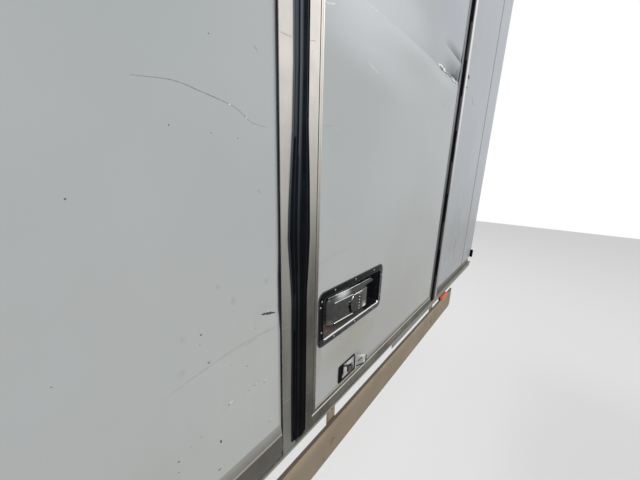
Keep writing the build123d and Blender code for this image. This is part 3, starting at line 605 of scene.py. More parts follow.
def kick_band(centre):
    """The rail's shoulder, its edge with the painted highlight, the flat, and the shaded lines and lit lips
    of its stepped foot, from the top down.
    """
    below = sum(centre.z < cut for cut in kick_cuts)
    return (0, 1, 2, 3, 2, 4, 3, 4, 3)[below]


kick_faces = (kick_dust_and_lit_shoulder, kick_edge_highlight, kick_flat, kick_step_shade, kick_lit_lip)
banded("rear_kick_rail", "rear_kick_profile", kick_faces, kick_cuts, kick_band)


# Scratches across the latch post, which stands proud of the skin: short, fine and nearly level, cut
# through the dull anodised face to the paler metal.

def proud(height):
    """The depth of a face that stands out of the skin by a height, for marks that lie on it."""
    return lambda x, z: -height


post_marks = bmesh.new()
post_scratch = flat_finish("post_scratch", (0.28, 0.28, 0.26), (0.38, 0.38, 0.35), 0.5)
post_proud = cad_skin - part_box("latch_post")[0].y
for seed, ends in enumerate((
    ((-0.785, 0.867), (-0.757, 0.869)), ((-0.781, 0.383), (-0.769, 0.380)),
    ((-0.784, 0.343), (-0.768, 0.342)), ((-0.784, 0.1585), (-0.763, 0.1565)),
)):
    ribbon(post_marks, finer(ends, 0.004), 0.0009, 0.4, 30 + seed, proud(post_proud), 0.0003)
piece("post_scratches", post_marks, post_scratch, "wall")


# The door's frame is one extrusion, mitred at the corners: a flat with a rolled lip, a groove, a low
# step and a second groove against the skin. The grooves are painted dark, for grime and painted shade, and
# on the bottom rail the lip and rim, which face up, are painted bright, for wear and a painted highlight.

# Its section: (distance in from the door's edge, distance out from the skin)
frame_section = (
    (0.0000, 0.0026), (0.0004, 0.0030), (0.0230, 0.0030), (0.0250, 0.0030), (0.0258, 0.0035),
    (0.0268, 0.0036), (0.0276, 0.0032), (0.0298, 0.0012), (0.0302, 0.0009), (0.0312, 0.0009),
    (0.0319, 0.0017), (0.0330, 0.0019), (0.0375, 0.0016), (0.0386, 0.0009), (0.0393, 0.0006),
    (0.0400, 0.0015), (0.0415, 0.0015), (0.0420, 0.0001),
)
frame_width = frame_section[-1][0]
# Which strips of the section, counted from the edge, are of each kind
outer_flat = (0, 1)
lip = (6, 7)
grooves = (8, 9, 13)
rim = (14, 15, 16)
groove_finish = flat_finish("groove_grime_and_shade", (0.022, 0.021, 0.018), (0.060, 0.056, 0.046), 0.7, 120.0)
lip_finish = dull_aluminium("rubbed_lip_and_highlight", (0.62, 0.59, 0.53), (0.42, 0.39, 0.33), 0.05, 0.3, 0.5)
latch_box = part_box("latch_stile")
hinge_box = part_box("hinge_stile")
hinge_width = hinge_box[1].x - hinge_box[0].x


def frame_member(node_name, materials, across, ends):
    """The CAD member with a finer face: across gives the place at an inset, ends the run's two ends."""
    bm = bmesh.new()
    bm.from_mesh(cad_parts[node_name].data)
    bmesh.ops.remove_doubles(bm, verts=bm.verts, dist=1e-6)
    out_of_skin = [f for f in bm.faces if all(v.co.y < cad_skin + 1e-4 for v in f.verts)]
    mitres = [f for f in bm.faces if abs(f.normal.x) > 0.1 and abs(f.normal.z) > 0.1]
    bmesh.ops.delete(bm, geom=list({*out_of_skin, *mitres}), context="FACES")
    for v in bm.verts:
        v.co.y = max(v.co.y, cad_skin - frame_section[0][1])
    rows = []
    for inset, out in frame_section:
        rows.append([bm.verts.new(point) for point in ends(across(inset), inset, cad_skin - out)])
    for k, (one, other) in enumerate(zip(rows, rows[1:])):
        face = bm.faces.new((one[0], one[1], other[1], other[0]))
        parts = (k in outer_flat, k in grooves, k in lip, k in rim, k > grooves[0], True)
        face.material_index = parts.index(True)
    bmesh.ops.remove_doubles(bm, verts=bm.verts, dist=1e-5)
    loose = [v for v in bm.verts if not v.link_faces]
    bmesh.ops.delete(bm, geom=loose, context="VERTS")
    made = piece(node_name + "_profile", bm, materials, "door", 0.4)
    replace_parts(made, node_name)


# On the hinge side the edge's rounding stays, and the flat that is cut away keeps this share of its width
edge_round = 0.001
squeezed = 0.04


def narrowed(inset):
    """The same section on the hinge side, where its flat is cut down to the narrow width."""
    spare = frame_width - hinge_width
    return max(inset - spare, squeezed * inset) if inset > edge_round else inset


def mitred(inset):
    """How far the mitre at the hinge side has come in when the long members are at this inset."""
    return inset * hinge_width / frame_width


door_rear = latch_box[0].x
door_front = hinge_box[1].x
door_foot = latch_box[0].z
door_head = latch_box[1].z


def hinge_ends(x, inset, y):
    """The ends of the hinge member's run at x, where the mitre comes in faster than along the others."""
    rise = (door_front - x) * frame_width / hinge_width
    return (x, y, door_foot + rise), (x, y, door_head - rise)


def level_ends(z, inset, y):
    """The ends of a level member's run at an inset."""
    return (door_rear + inset, y, z), (door_front - mitred(inset), y, z)


# The hinge stile's outer flat is painted black, a painted shade of the gap beside it.
hinge_gap_shade = flat_finish("hinge_gap_shade", (0.004, 0.004, 0.006), (0.009, 0.009, 0.013), 0.7)
hinge_gap_shade.node_tree.nodes["Principled BSDF"].inputs["Specular IOR Level"].default_value = 0.0
# Finishes of the outer flat, the grooves, the lip, the rim, the low step and the rest
long_faces = (frame_finish, groove_finish, frame_finish, frame_finish, frame_finish, frame_finish)
rail_faces = (frame_finish, groove_finish, lip_finish, lip_finish, frame_finish, frame_finish)
hinge_faces = (
    hinge_gap_shade, hinge_edge_finish, hinge_edge_finish, hinge_edge_finish, hinge_step_finish,
    hinge_edge_finish,
)
frame_member("latch_stile", long_faces, lambda a: door_rear + a,
             lambda x, a, y: ((x, y, door_foot + a), (x, y, door_head - a)))
frame_member("hinge_stile", hinge_faces, lambda a: door_front - narrowed(a), hinge_ends)
frame_member("bottom_rail", rail_faces, lambda a: door_foot + a, level_ends)
frame_member("top_stile", long_faces, lambda a: door_head - a, level_ends)
stile_mark = bmesh.new()
stile_proud = 0.003
for seed, ends in enumerate((
    ((-0.7155, 0.879), (-0.708, 0.881), (-0.699, 0.883)), ((-0.7150, 0.134), (-0.7025, 0.131)),
)):
    ribbon(stile_mark, ends, 0.0009, 0.4, 38 + seed, proud(stile_proud), 0.0003)
piece("stile_scratch", stile_mark, post_scratch, "door")


# Door leaf: the same sandwich skin in its aluminium frame. A blow at the hinge edge, a metre up, left
# a long crease that ends in a crumple, and a wedge above it; softer creases run lower and to the rear.

main_crease = (
    (-0.640, 1.012), (-0.536, 1.016), (-0.445, 1.022), (-0.302, 1.031), (-0.145, 1.039),
    (-0.066, 1.041), (0.045, 1.046), (0.145, 1.052), (0.228, 1.061),
)
lilac_reflection = (0.375, 0.400, 0.445, 1)
light_below_crease = (0.52, 0.545, 0.565, 1)
wedge_crease = ((-0.014, 1.127), (0.072, 1.131), (0.161, 1.132), (0.228, 1.135))
rear_crease = ((-0.674, 0.931), (-0.596, 0.936), (-0.512, 0.946), (-0.431, 0.954))
foot_crease = ((-0.388, 0.134), (-0.319, 0.136), (-0.201, 0.123), (-0.082, 0.122), (0.003, 0.119))
leaf_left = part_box("latch_stile")[1].x
leaf_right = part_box("hinge_stile")[0].x
crumple_start = -0.15
crumple_reach = 0.018


def eased(value, low, high):
    """Smooth step from 0 to 1 between two values."""
    t = min(1.0, max(0.0, (value - low) / (high - low)))
    return t * t * (3 - 2 * t)


def leaf_depth(x, z):
    """How far the door's skin is pressed in at a point."""
    growth = eased(x, -0.5, 0.22)
    deep = (0.0016 + 0.0050 * growth) * fold(x, z, main_crease, 0.030, 0.075)
    deep += 0.0062 * eased(x, -0.05, 0.22) * fold(x, z, wedge_crease, 0.022, 0.060)
    deep += 0.0012 * fold(x, z, rear_crease, 0.030, 0.060)
    deep += 0.0012 * fold(x, z, foot_crease, 0.022, 0.050)
    deep += 0.0045 * bowl(x, z, (0.205, 1.082), 0.034)
    crushed = eased(x, crumple_start, 0.02) * fold(x, z, main_crease, crumple_reach, crumple_reach)
    if crushed:
        deep += 0.0034 * crushed * noise.noise(Vector((x * 55, z * 110, 4.0)))
        deep += 0.0014 * crushed * noise.noise(Vector((x * 140, z * 220, 9.0)))
    frame_reach = 0.010
    room = min(x - leaf_left, leaf_right - x) / frame_reach
    return deep * min(1.0, max(0.0, room))


drip = (0.30, 0.285, 0.235, 1)
# Its stains are drips. Its tones darken it low down and by the drips, and paint light and reflection: pale
# blue along and below the creases is painted reflection and painted light, lilac at the hinge end painted
# reflection. Its shades are painted shade above the main crease and the wedge.
leaf_finish = glass_fibre_skin("leaf_skin", (
    ((-0.392, cad_skin, 0.185), (0.020, 0.05, 0.060), 0.55, drip),
    ((-0.424, cad_skin, 0.205), (0.012, 0.05, 0.030), 0.45, drip),
    ((-0.660, cad_skin, 0.200), (0.020, 0.05, 0.140), 0.60, drip),
    ((-0.600, cad_skin, 0.235), (0.090, 0.05, 0.018), 0.50, drip),
    ((-0.500, cad_skin, 0.215), (0.160, 0.05, 0.030), 0.45, drip),
), (
    ((-0.250, cad_skin, 0.120), (0.600, 0.20, 0.280), 0.60, (0.355, 0.356, 0.335, 1)),
    ((-0.530, cad_skin, 0.175), (0.200, 0.20, 0.075), 0.75, (0.330, 0.318, 0.262, 1)),
    ((-0.560, cad_skin, 1.010), (0.300, 0.20, 0.150), 0.95, (0.58, 0.605, 0.625, 1)),
    ((-0.350, cad_skin, 1.060), (0.300, 0.20, 0.110), 0.75, (0.57, 0.595, 0.620, 1)),
    ((-0.400, cad_skin, 0.930), (0.300, 0.20, 0.080), 0.50, light_below_crease),
    ((0.050, cad_skin, 1.230), (0.450, 0.20, 0.170), 0.90, lilac_reflection),
    ((0.130, cad_skin, 0.950), (0.200, 0.20, 0.100), 0.35, lilac_reflection),
    ((0.020, cad_skin, 1.012), (0.260, 0.20, 0.026), 0.45, light_below_crease),
), (
    ((-0.500, 1.018), (0.228, 1.061), 0.110, 0.55, lilac_reflection),
    ((-0.040, 1.1180), (0.215, 1.1285), 0.040, 1.00, (0.120, 0.124, 0.134, 1)),
    ((-0.020, 1.0440), (0.224, 1.0600), 0.080, 0.90, (0.125, 0.130, 0.140, 1)),
))
skin_with_dents(
    "leaf_panel", "leaf_skin", leaf_finish, "door",
    lines_between(((-0.66, -0.16, 0.02), (-0.16, 0.226, 0.005))),
    lines_between((
        (0.10, 0.17, 0.004), (0.17, 0.90, 0.1), (0.90, 0.97, 0.005), (0.97, 1.02, 0.006),
        (1.02, 1.075, 0.003), (1.075, 1.18, 0.005), (1.18, 1.86, 0.1),
    )),
    leaf_depth,
)


# Marks on the door: pale scuffs and soft grey scratches in the gel coat, and along the crumple bright
# flakes of it that have lifted, with dark cracks between them. The flakes also paint the crumple's
# highlights, and the cracks its shade.

pale_scuff_and_highlight = flat_finish("scuff_and_highlight_pale", (0.60, 0.61, 0.60), (0.75, 0.76, 0.75), 0.5)
soft_scratch = flat_finish("scratch_soft", (0.27, 0.285, 0.285), (0.35, 0.365, 0.365), 0.5)
dark_lines = bmesh.new()
for seed, (points, width) in enumerate((
    (((-0.663, 0.454), (-0.624, 0.463), (-0.557, 0.469)), 0.0009),
    (((-0.666, 0.748), (-0.636, 0.752)), 0.0011),
    (((-0.636, 0.727), (-0.599, 0.746)), 0.0007),
    (((-0.629, 0.560), (-0.603, 0.555)), 0.0008),
    (((0.031, 0.950), (0.056, 0.934), (0.091, 0.930)), 0.0022),
    (((-0.245, 0.833), (-0.243, 0.828)), 0.0030),
)):
    ribbon(dark_lines, finer(points, 0.004), width, 0.5, 40 + seed, leaf_depth)
piece("leaf_scratches", dark_lines, soft_scratch, "door")

pale_marks = bmesh.new()
for seed, (points, width) in enumerate((
    (((-0.677, 0.954), (-0.660, 0.958), (-0.642, 0.965)), 0.0030),
    (((-0.516, 0.908), (-0.490, 0.902), (-0.461, 0.898)), 0.0018),
    # This one follows the main crease, a pale line that is a painted highlight along it.
    (((-0.640, 1.0125), (-0.536, 1.0155), (-0.445, 1.0215)), 0.0022),
)):
    ribbon(pale_marks, finer(points, 0.004), width, 0.5, 60 + seed, leaf_depth)
piece("leaf_scuffs_and_crease_highlight", pale_marks, pale_scuff_and_highlight, "door")

flakes_and_highlights = bmesh.new()
chips(flakes_and_highlights, (
    (0.004, 1.0490, 0.026, 0.0046), (0.034, 1.0462, 0.020, 0.0080), (0.158, 1.0470, 0.023, 0.0085),
    (0.196, 1.0452, 0.022, 0.0056), (-0.030, 1.0450, 0.020, 0.0036), (0.072, 1.0370, 0.014, 0.0034),
), 71, leaf_depth, 0.0016)
flake_and_highlight_finish = flat_finish("flake_and_highlight_white", (0.72, 0.74, 0.72), (0.9, 0.92, 0.9), 0.3)
piece("leaf_flakes_and_highlights", flakes_and_highlights, flake_and_highlight_finish, "door")

cracks_and_shade = bmesh.new()
for seed, (points, width) in enumerate((
    (((-0.010, 1.0390), (0.015, 1.0425), (0.040, 1.0440)), 0.0026),
    (((0.035, 1.0440), (0.070, 1.0450), (0.105, 1.0450), (0.140, 1.0540)), 0.0036),
    (((0.140, 1.0460), (0.150, 1.0500), (0.158, 1.0535)), 0.0040),
    (((0.130, 1.0580), (0.165, 1.0620), (0.216, 1.0650)), 0.0080),
    (((0.180, 1.0560), (0.200, 1.0570), (0.222, 1.0560)), 0.0040),
)):
    ribbon(cracks_and_shade, finer(points, 0.003), width, 0.6, 80 + seed, leaf_depth, 0.0013)
crack_and_shade_finish = flat_finish("crack_and_shade_grey", (0.06, 0.065, 0.065), (0.14, 0.145, 0.145), 0.6)
piece("leaf_cracks_and_shade", cracks_and_shade, crack_and_shade_finish, "door")


# Marks on the front wall, beside the hinge: two dark chips as high as the door's crease, a curved scrape
# next to them and one long level scratch near the foot.

front_chips = bmesh.new()
chips(front_chips, ((0.378, 1.1145, 0.0180, 0.0085), (0.372, 1.069, 0.0150, 0.0030)), 90, proud(0.0), 0.0006)
piece("front_wall_chips", front_chips, chip_finish, "wall")
front_marks = bmesh.new()
curved_scrape = ((0.500, 1.068), (0.512, 1.047), (0.540, 1.034), (0.575, 1.031))
level_scratch = ((0.444, 0.253), (0.560, 0.251), (0.704, 0.248))
ribbon(front_marks, finer(curved_scrape, 0.006), 0.0042, 0.4, 91, proud(0.0))
ribbon(front_marks, finer(level_scratch, 0.01), 0.0012, 0.5, 92, proud(0.0))
piece("front_wall_marks", front_marks, scratch_finish, "wall")


# Door gasket: one wide rubber lip, fixed in the door's edge, that laps over the post. It has a crease
# along its rear part and has swollen out about half a metre up. Grease has turned its foot black.

def facing_of(tree):
    """The way that the surface faces on the piece at rest, as X, Y and Z."""
    normal = node(tree, "ShaderNodeTexCoord").outputs["Normal"]
    return node(tree, "ShaderNodeSeparateXYZ", {0: normal}).outputs


def rubber(name, low, high, roughness, tone_amount=0.9, rearward_sheen=(0.078, 0.088, 0.100), shine=0.006):
    """Old rubber: blue-black, with a painted lighter sheen on faces that look rearward, black grease low
    down.
    """
    material, tree, shader, position = finish_of(name)
    clouds = clouds_at(tree, position, 22.0, 4.0)
    colour = over(tree, stretch(tree, clouds, 0.35, 0.65), (*low, 1), (*high, 1))
    facing = facing_of(tree)["X"]
    colour = over(tree, stretch(tree, facing, -0.10, -0.5), colour, (*rearward_sheen, 1))
    low_mask = effect_mask(tree, "low_down_mask", position, Low=0.3, High=1.0, Amount=tone_amount, Break=0.1)
    colour = over(tree, low_mask, colour, (0.0030, 0.0030, 0.0033, 1))
    specks = effect_mask(tree, "grit_specks", position, Scale=150.0, Size=0.1, Share=0.04)
    colour = over(tree, specks, colour, (0.05, 0.048, 0.045, 1))
    tree.links.new(colour, shader.inputs["Base Color"])
    tree.links.new(sums(tree, "MULTIPLY_ADD", clouds, 0.2, roughness - 0.1), shader.inputs["Roughness"])
    shader.inputs["Specular IOR Level"].default_value = shine
    pebbles = clouds_at(tree, position, 900.0, 2.0)
    raise_by(tree, shader, pebbles, 0.00015)
    return material


def skinned(bm, loops, close=True):
    """Join a row of closed loops of points, all with as many points, and close both ends."""
    made = [[bm.verts.new(point) for point in loop] for loop in loops]
    for one, other in zip(made, made[1:]):
        for i in range(len(one)):
            j = (i + 1) % len(one)
            bm.faces.new((one[i], one[j], other[j], other[i]))
    if close:
        bm.faces.new(made[0])
        bm.faces.new(made[-1])
    return made


def between(table, at):
    """Value at a place in a table of (place, value) pairs, on straight lines between them."""
    if at <= table[0][0]:
        return table[0][1]
    for (a, low), (b, high) in zip(table, table[1:]):
        if at <= b:
            return low + (high - low) * (at - a) / (b - a)
    return table[-1][1]


# The gasket's bluish sheen on its rearward faces is a painted reflection of the sky.
gasket_finish = rubber(
    "gasket_rubber", (0.0065, 0.0085, 0.0115), (0.012, 0.0150, 0.0195), 0.5, 0.97, (0.11, 0.125, 0.145))
gasket_low, gasket_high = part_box("latch_gasket")
post_face_width = 0.038
post_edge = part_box("latch_post")[0].x + post_face_width
leaf_edge = door_rear
# The gasket lies on the post and the door's frame, and fills the gap between them down to its back
post_seat = cad_skin - 0.0023
leaf_seat = cad_skin - 0.0031
gap_mouth = cad_skin + 0.005
gasket_flank = cad_skin + 0.010
gasket_back = cad_skin + 0.0197
# Low down it stays in front of the floor rail
rail_top = 0.0625
rail_front = -0.0895
# How far its two edges stand out from the skin
rear_lip = 0.0024
front_lip = 0.0034
# The gasket's edges (height, place), where it bulges out over the post and over the door's frame
gasket_rear = (
    (0.150, -0.7610), (0.400, -0.7600), (0.470, -0.7650), (0.527, -0.7698), (0.580, -0.7680),
    (0.641, -0.7641), (0.743, -0.7576), (0.835, -0.7551), (1.900, -0.7545),
)
gasket_front = (
    (0.150, -0.7143), (0.400, -0.7156), (0.470, -0.7110), (0.527, -0.7085), (0.641, -0.7118),
    (0.743, -0.7170), (1.900, -0.7190),
)
# Its outer shape: (share of the width from the rear edge, distance out from the skin)
gasket_shape = (
    (0.000, 0.0024), (0.012, 0.0040), (0.045, 0.0052), (0.075, 0.0053), (0.100, 0.0046), (0.200, 0.0062),
    (0.300, 0.0073), (0.330, 0.0066), (0.360, 0.0074), (0.450, 0.0088), (0.580, 0.0091), (0.700, 0.0084),
    (0.790, 0.0070), (0.815, 0.0058), (0.850, 0.0064), (0.930, 0.0062), (0.985, 0.0052), (1.000, 0.0036),
)


def gasket_row(z):
    """One level ring of the gasket."""
    rear = between(gasket_rear, z)
    front = between(gasket_front, z)
    wander = 0.0006 * noise.noise(Vector((0.0, 3.0, z * 9)))
    ring = []
    for share, out in gasket_shape:
        swell = 1.0 + 0.12 * noise.noise(Vector((share * 2, 7.0, z * 6)))
        base = rear_lip + (front_lip - rear_lip) * share
        out_here = base + (out - base) * swell
        ring.append((rear + (front - rear) * share + wander * (1 - share), cad_skin - out_here, z))
    deepest = rail_front if z < rail_top else gasket_back
    for x, y in (
        (max(front, leaf_edge), leaf_seat), (leaf_edge, leaf_seat), (leaf_edge, gasket_flank),
        (leaf_edge - 0.008, gasket_back), (leaf_edge - 0.024, gasket_back),
        (leaf_edge - 0.026, gasket_flank), (post_edge + 0.0006, gap_mouth),
        (post_edge + 0.0006, post_seat), (rear + 0.001, post_seat),
    ):
        ring.append((x, min(y, deepest), z))
    return ring


gasket_mesh = bmesh.new()
gasket_rows = 130
gasket_foot = gasket_low.z + 0.014
skinned(gasket_mesh, [
    gasket_row(gasket_foot + (gasket_high.z - gasket_foot) * i / gasket_rows) for i in range(gasket_rows + 1)
])
gasket = piece("door_gasket", gasket_mesh, gasket_finish, "door", 0.9)
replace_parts(gasket, "latch_gasket")


# Joint seal between rear wall and post: a soft black strip in the gap, a little proud in its middle.
# The wall's edge has been knocked about there, so the strip is wider in one place than in another.

joint_low, joint_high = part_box("joint_seal")
# How far the rear wall's edge stands from its line at the joint (height, distance forward)
edge_shift = (
    (0.06, 0.0015), (0.25, 0.0015), (0.345, 0.0020), (0.390, -0.0015), (0.470, -0.0022), (0.500, 0.0),
    (2.2, 0.0),
)
joint_mesh = bmesh.new()
joint_rows = 100
joint_loops = []
for i in range(joint_rows + 1):
    z = joint_low.z + (joint_high.z - joint_low.z) * i / joint_rows
    rear = joint_low.x + between(edge_shift, z)
    front = joint_high.x
    joint_loops.append([(x, y, z) for x, y in (
        (rear, joint_high.y), (rear, cad_skin + 0.0002), (rear + 0.0006, cad_skin - 0.0005),
        ((rear + front) / 2, cad_skin - 0.0011), (front - 0.0006, cad_skin - 0.0007), (front, cad_skin),
        (front, joint_high.y),
    )])
skinned(joint_mesh, joint_loops)
joint_finish = rubber("joint_rubber", (0.012, 0.011, 0.015), (0.022, 0.020, 0.028), 0.55, 0.5)
joint = piece("joint_line", joint_mesh, joint_finish, "wall", 0.9)
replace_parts(joint, "joint_seal")
for v in rear_skin.data.vertices:
    if abs(v.co.x - joint_low.x) < 1e-4 and v.co.y < cad_skin + 0.01:
        v.co.x += between(edge_shift, v.co.z)


# Smaller rubber: the two strips over the hinge, the seals at head and threshold, and the edge rubber and
# the stop at the front. The strip on the post has bloomed grey, as has the front corner's jointing.

cover_finish = rubber(
    "cover_rubber", (0.004, 0.0045, 0.008), (0.010, 0.011, 0.016), 0.6, 0.5, (0.006, 0.006, 0.010), shine=0.0)
grey_cover = rubber(
    "grey_cover_rubber", (0.130, 0.132, 0.135), (0.200, 0.202, 0.205), 0.6, 0.5, (0.12, 0.122, 0.126),
    shine=0.0)
dress(grey_cover, "hinge_cover_fixed")
dress(cover_finish, "hinge_cover_door", "hinge_leaf_door", "head_gasket", "threshold_gasket",
      "front_edge_rubber", "front_stop")
dress(flat_finish("jointing", (0.20, 0.205, 0.21), (0.27, 0.275, 0.28), 0.6), "corner_joint_strip")


# Lock pan: one stainless sheet pressed into a dish, with a bead round it and a deeper finger pocket at
# its front end. Its flat flange is riveted to the door's skin over black sealant. Its steels are painted in
# shades: the flange darker as a painted dark reflection, the dish's floor lighter as painted light, the
# finger pocket nearly black as painted shade, and a brown patch low down at the rear of the floor is a
# painted reflection of the ground.

def polished_steel(name, dark, bright, metallic=1.0, glints=()):
    """Polished pressing with a painted reflection: faces that look up are painted bright like the sky, the
    others dark like dark surroundings, with painted glints, smears and fine lines.
    """
    material, tree, shader, position = finish_of(name)
    lit = stretch(tree, facing_of(tree)["Z"], 0.25, 0.62)
    smears = clouds_at(tree, position, 34.0, 4.0, Distortion=0.6)
    shade = over(tree, stretch(tree, smears, 0.3, 0.72), (*dark, 1), (*(c * 1.5 for c in dark), 1))
    colour = over(tree, lit, shade, (*bright, 1))
    for centre, reach, amount, tint in glints:
        mask = effect_mask(tree, "stain_and_light_patch", position, Centre=centre, Reach=reach, Amount=amount, Break=0.3)
        colour = over(tree, mask, colour, tint)
    specks = effect_mask(tree, "grit_specks", position, Scale=260.0, Size=0.16, Share=0.06)
    colour = over(tree, specks, colour, (0.16, 0.15, 0.13, 1))
    tree.links.new(colour, shader.inputs["Base Color"])
    tree.links.new(sums(tree, "MULTIPLY_ADD", smears, 0.25, 0.12), shader.inputs["Roughness"])
    lines = drawn_lines(tree, position, (12.0, 900.0, 900.0), 2.0)
    raise_by(tree, shader, lines, 0.00004, 0.5)
    shader.inputs["Metallic"].default_value = metallic
    return material


def round_box(x0, x1, z0, z1, radius, stops=(), steps=7):
    """A rectangle with round corners as (x, z) points, with extra points at stops on both long sides."""
    points = []
    left = x0 + radius
    right = x1 - radius
    low = z0 + radius
    high = z1 - radius
    centres = ((right, high), (left, high), (left, low), (right, low))
    for quarter, (cx, cz) in enumerate(centres):
        for k in range(steps + 1):
            turn = math.pi / 2 * (quarter + k / steps)
            points.append((cx + radius * math.cos(turn), cz + radius * math.sin(turn)))
        if quarter == 0:
            points += [(x, z1) for x in sorted(stops, reverse=True)]
        if quarter == 2:
            points += [(x, z0) for x in sorted(stops)]
    return points


# All the lock's steels carry the painted reflection; this bright colour is its painted highlight.
steel_bright = (0.88, 0.88, 0.87)
steel = polished_steel("pressed_steel", (0.030, 0.031, 0.032), steel_bright)
# The flange: a darker copy of the steel, a painted dark reflection.
flange_steel = polished_steel("dark_flange", (0.006, 0.0065, 0.007), (0.032, 0.033, 0.034))
pan_low, pan_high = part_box("lock_pan")
# The pressing's top edge lies this much below the top of the pan's box
top_trim = 0.0030
pan_high.z -= top_trim
# The dish's floor: a lighter, less metallic copy of the steel as painted light, with a brown painted
# reflection of the ground low at the rear.
ground_reflection_patch = ((-0.620, cad_skin + 0.020, 0.262), (0.090, 0.05, 0.026), 0.85, (0.200, 0.145, 0.125, 1))
floor_steel = polished_steel(
    "dish_floor_steel", (0.100, 0.098, 0.094), (0.120, 0.118, 0.112), 0.35, (ground_reflection_patch,))
# The finger pocket: a near-black copy, as painted shade.
pocket_steel = polished_steel("pocket_steel", (0.014, 0.015, 0.019), (0.03, 0.03, 0.034), 0.5)
dish_depth = 0.028
pocket_depth = 0.042
pocket_x = -0.448
pocket_ramp = 0.003
pan_corner = 0.020
flange_out = 0.002
# The pressed section: (distance in from the pan's edge, share of the depth, distance out from the flange)
pan_section = (
    (0.0024, 0.0, -0.0019), (0.0026, 0.0, -0.0009), (0.0032, 0.0, -0.0006), (0.0058, 0.0, -0.0006),
    (0.0066, 0.0, -0.0001), (0.0074, 0.0, -0.0001), (0.0150, 0.0, 0.0000), (0.0158, 0.0, 0.0006),
    (0.0168, 0.0, 0.0014), (0.0180, 0.0, 0.0015), (0.0191, 0.0, 0.0006), (0.0198, 0.03, 0.0),
    (0.0203, 0.09, 0.0), (0.0222, 0.45, 0.0), (0.0246, 0.76, 0.0), (0.0256, 0.88, 0.0), (0.0266, 0.95, 0.0),
    (0.0280, 0.985, 0.0), (0.0300, 1.0, 0.0), (0.0480, 1.0, 0.0), (0.0700, 1.0, 0.0),
)


# The corners get tighter towards the dish's floor: radius lost per distance in, and the least radius
corner_fall = 0.62
least_radius = 0.0015


def pan_ring(inset, share, out):
    """One ring of the pan, deeper in the finger pocket than in the rest of the dish."""
    x0 = pan_low.x + inset
    x1 = pan_high.x - inset
    radius = max(pan_corner - corner_fall * inset, least_radius)
    start = x0 + radius
    stop = x1 - radius
    stops = [start + (pocket_x - pocket_ramp - start) * k / 12 for k in range(1, 13)]
    stops += [pocket_x + (pocket_ramp if k == 0 else 0) + (stop - pocket_x) * k / 6 for k in range(6)]
    ring = []
    for x, z in round_box(x0, x1, pan_low.z + inset, pan_high.z - inset, radius, stops):
        pocket = eased(x, pocket_x - pocket_ramp, pocket_x + pocket_ramp)
        deep = dish_depth + (pocket_depth - dish_depth) * pocket
        ring.append((x, cad_skin + share * deep - (1 - share) * flange_out - out, z))
    return ring


pan_mesh = bmesh.new()
last = skinned(pan_mesh, [pan_ring(*row) for row in pan_section], close=False)[-1]
for i in range(len(last) // 2 - 1):
    pan_mesh.faces.new((last[i], last[i + 1], last[-2 - i], last[-1 - i]))
# The dish starts below this depth; only the bead along its foot keeps the bright steel with its painted
# highlight, and the rest of the flange takes the dark painted reflection
wall_start = 0.003
bead_low = pan_low.z + 0.0145
bead_top = pan_low.z + 0.0240
pan_steels = (steel, floor_steel, pocket_steel, flange_steel)
for face in pan_mesh.faces:
    middle = face.calc_center_median()
    deep = middle.y - cad_skin
    if middle.x > pocket_x and deep > wall_start:
        face.material_index = pan_steels.index(pocket_steel)
    elif deep > wall_start:
        face.material_index = pan_steels.index(floor_steel)
    elif not bead_low < middle.z < bead_top:
        face.material_index = pan_steels.index(flange_steel)
pan = piece("lock_pan_pressing", pan_mesh, pan_steels, "door", 0.7)
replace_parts(pan, "lock_pan")


# Sealant squeezed out round the pan: black mastic between the flange and the skin, which stands as an
# uneven low ridge along the flange's edge.

# Its section: (distance out from the pan's edge, distance out from the skin)
sealant_section = ((0.0006, 0.0001), (0.0002, 0.0011), (-0.0012, 0.0017), (-0.0030, 0.0015))
sealant = bmesh.new()
sealant_loops = []
for reach, out in sealant_section:
    loop = []
    for x, _, z in pan_ring(0.0, 0.0, 0.0):
        wander = 1 + 0.35 * noise.noise(Vector((x * 40, 5.0, z * 40)))
        away = Vector((x - (pan_low.x + pan_high.x) / 2, z - (pan_low.z + pan_high.z) / 2))
        side = (abs(away.x) - (pan_high.x - pan_low.x) / 2, abs(away.y) - (pan_high.z - pan_low.z) / 2)
        push_x = reach * wander * math.copysign(1, away.x) if side[0] > -pan_corner / 2 else 0.0
        push_z = reach * wander * math.copysign(1, away.y) if side[1] > -pan_corner / 2 else 0.0
        loop.append((x + push_x, cad_skin - out, z + push_z))
    sealant_loops.append(loop)
skinned(sealant, sealant_loops, close=False)
sealant_finish = flat_finish("black_sealant", (0.002, 0.002, 0.0025), (0.006, 0.006, 0.007), 0.5, 120.0)
piece("pan_sealant", sealant, sealant_finish, "door", 0.9)


# Lock cover: a pressing that stands on the dish's floor. Its face leans in to the rear, a sloped
# shoulder runs round it, and the lever's round end lies in the notch at its front.

cover_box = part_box("lock_cover")
lever_drop = 0.0053
lever_middle = (cover_box[0].z + cover_box[1].z) / 2 - lever_drop
cover_half = 0.0335
cover_rear = -0.5955
cover_corner = 0.004
cover_lean = 0.070
cover_level = -0.500
cover_depth = 0.004
shoulder_top = 0.0130
shoulder_rear = 0.0160
shoulder_foot = 0.0035
notch_centre = -0.494
notch_radius = 0.036


def face_depth(x):
    """Depth of the cover's face, which leans in towards the rear."""
    return cover_depth + cover_lean * max(0.0, cover_level - x)


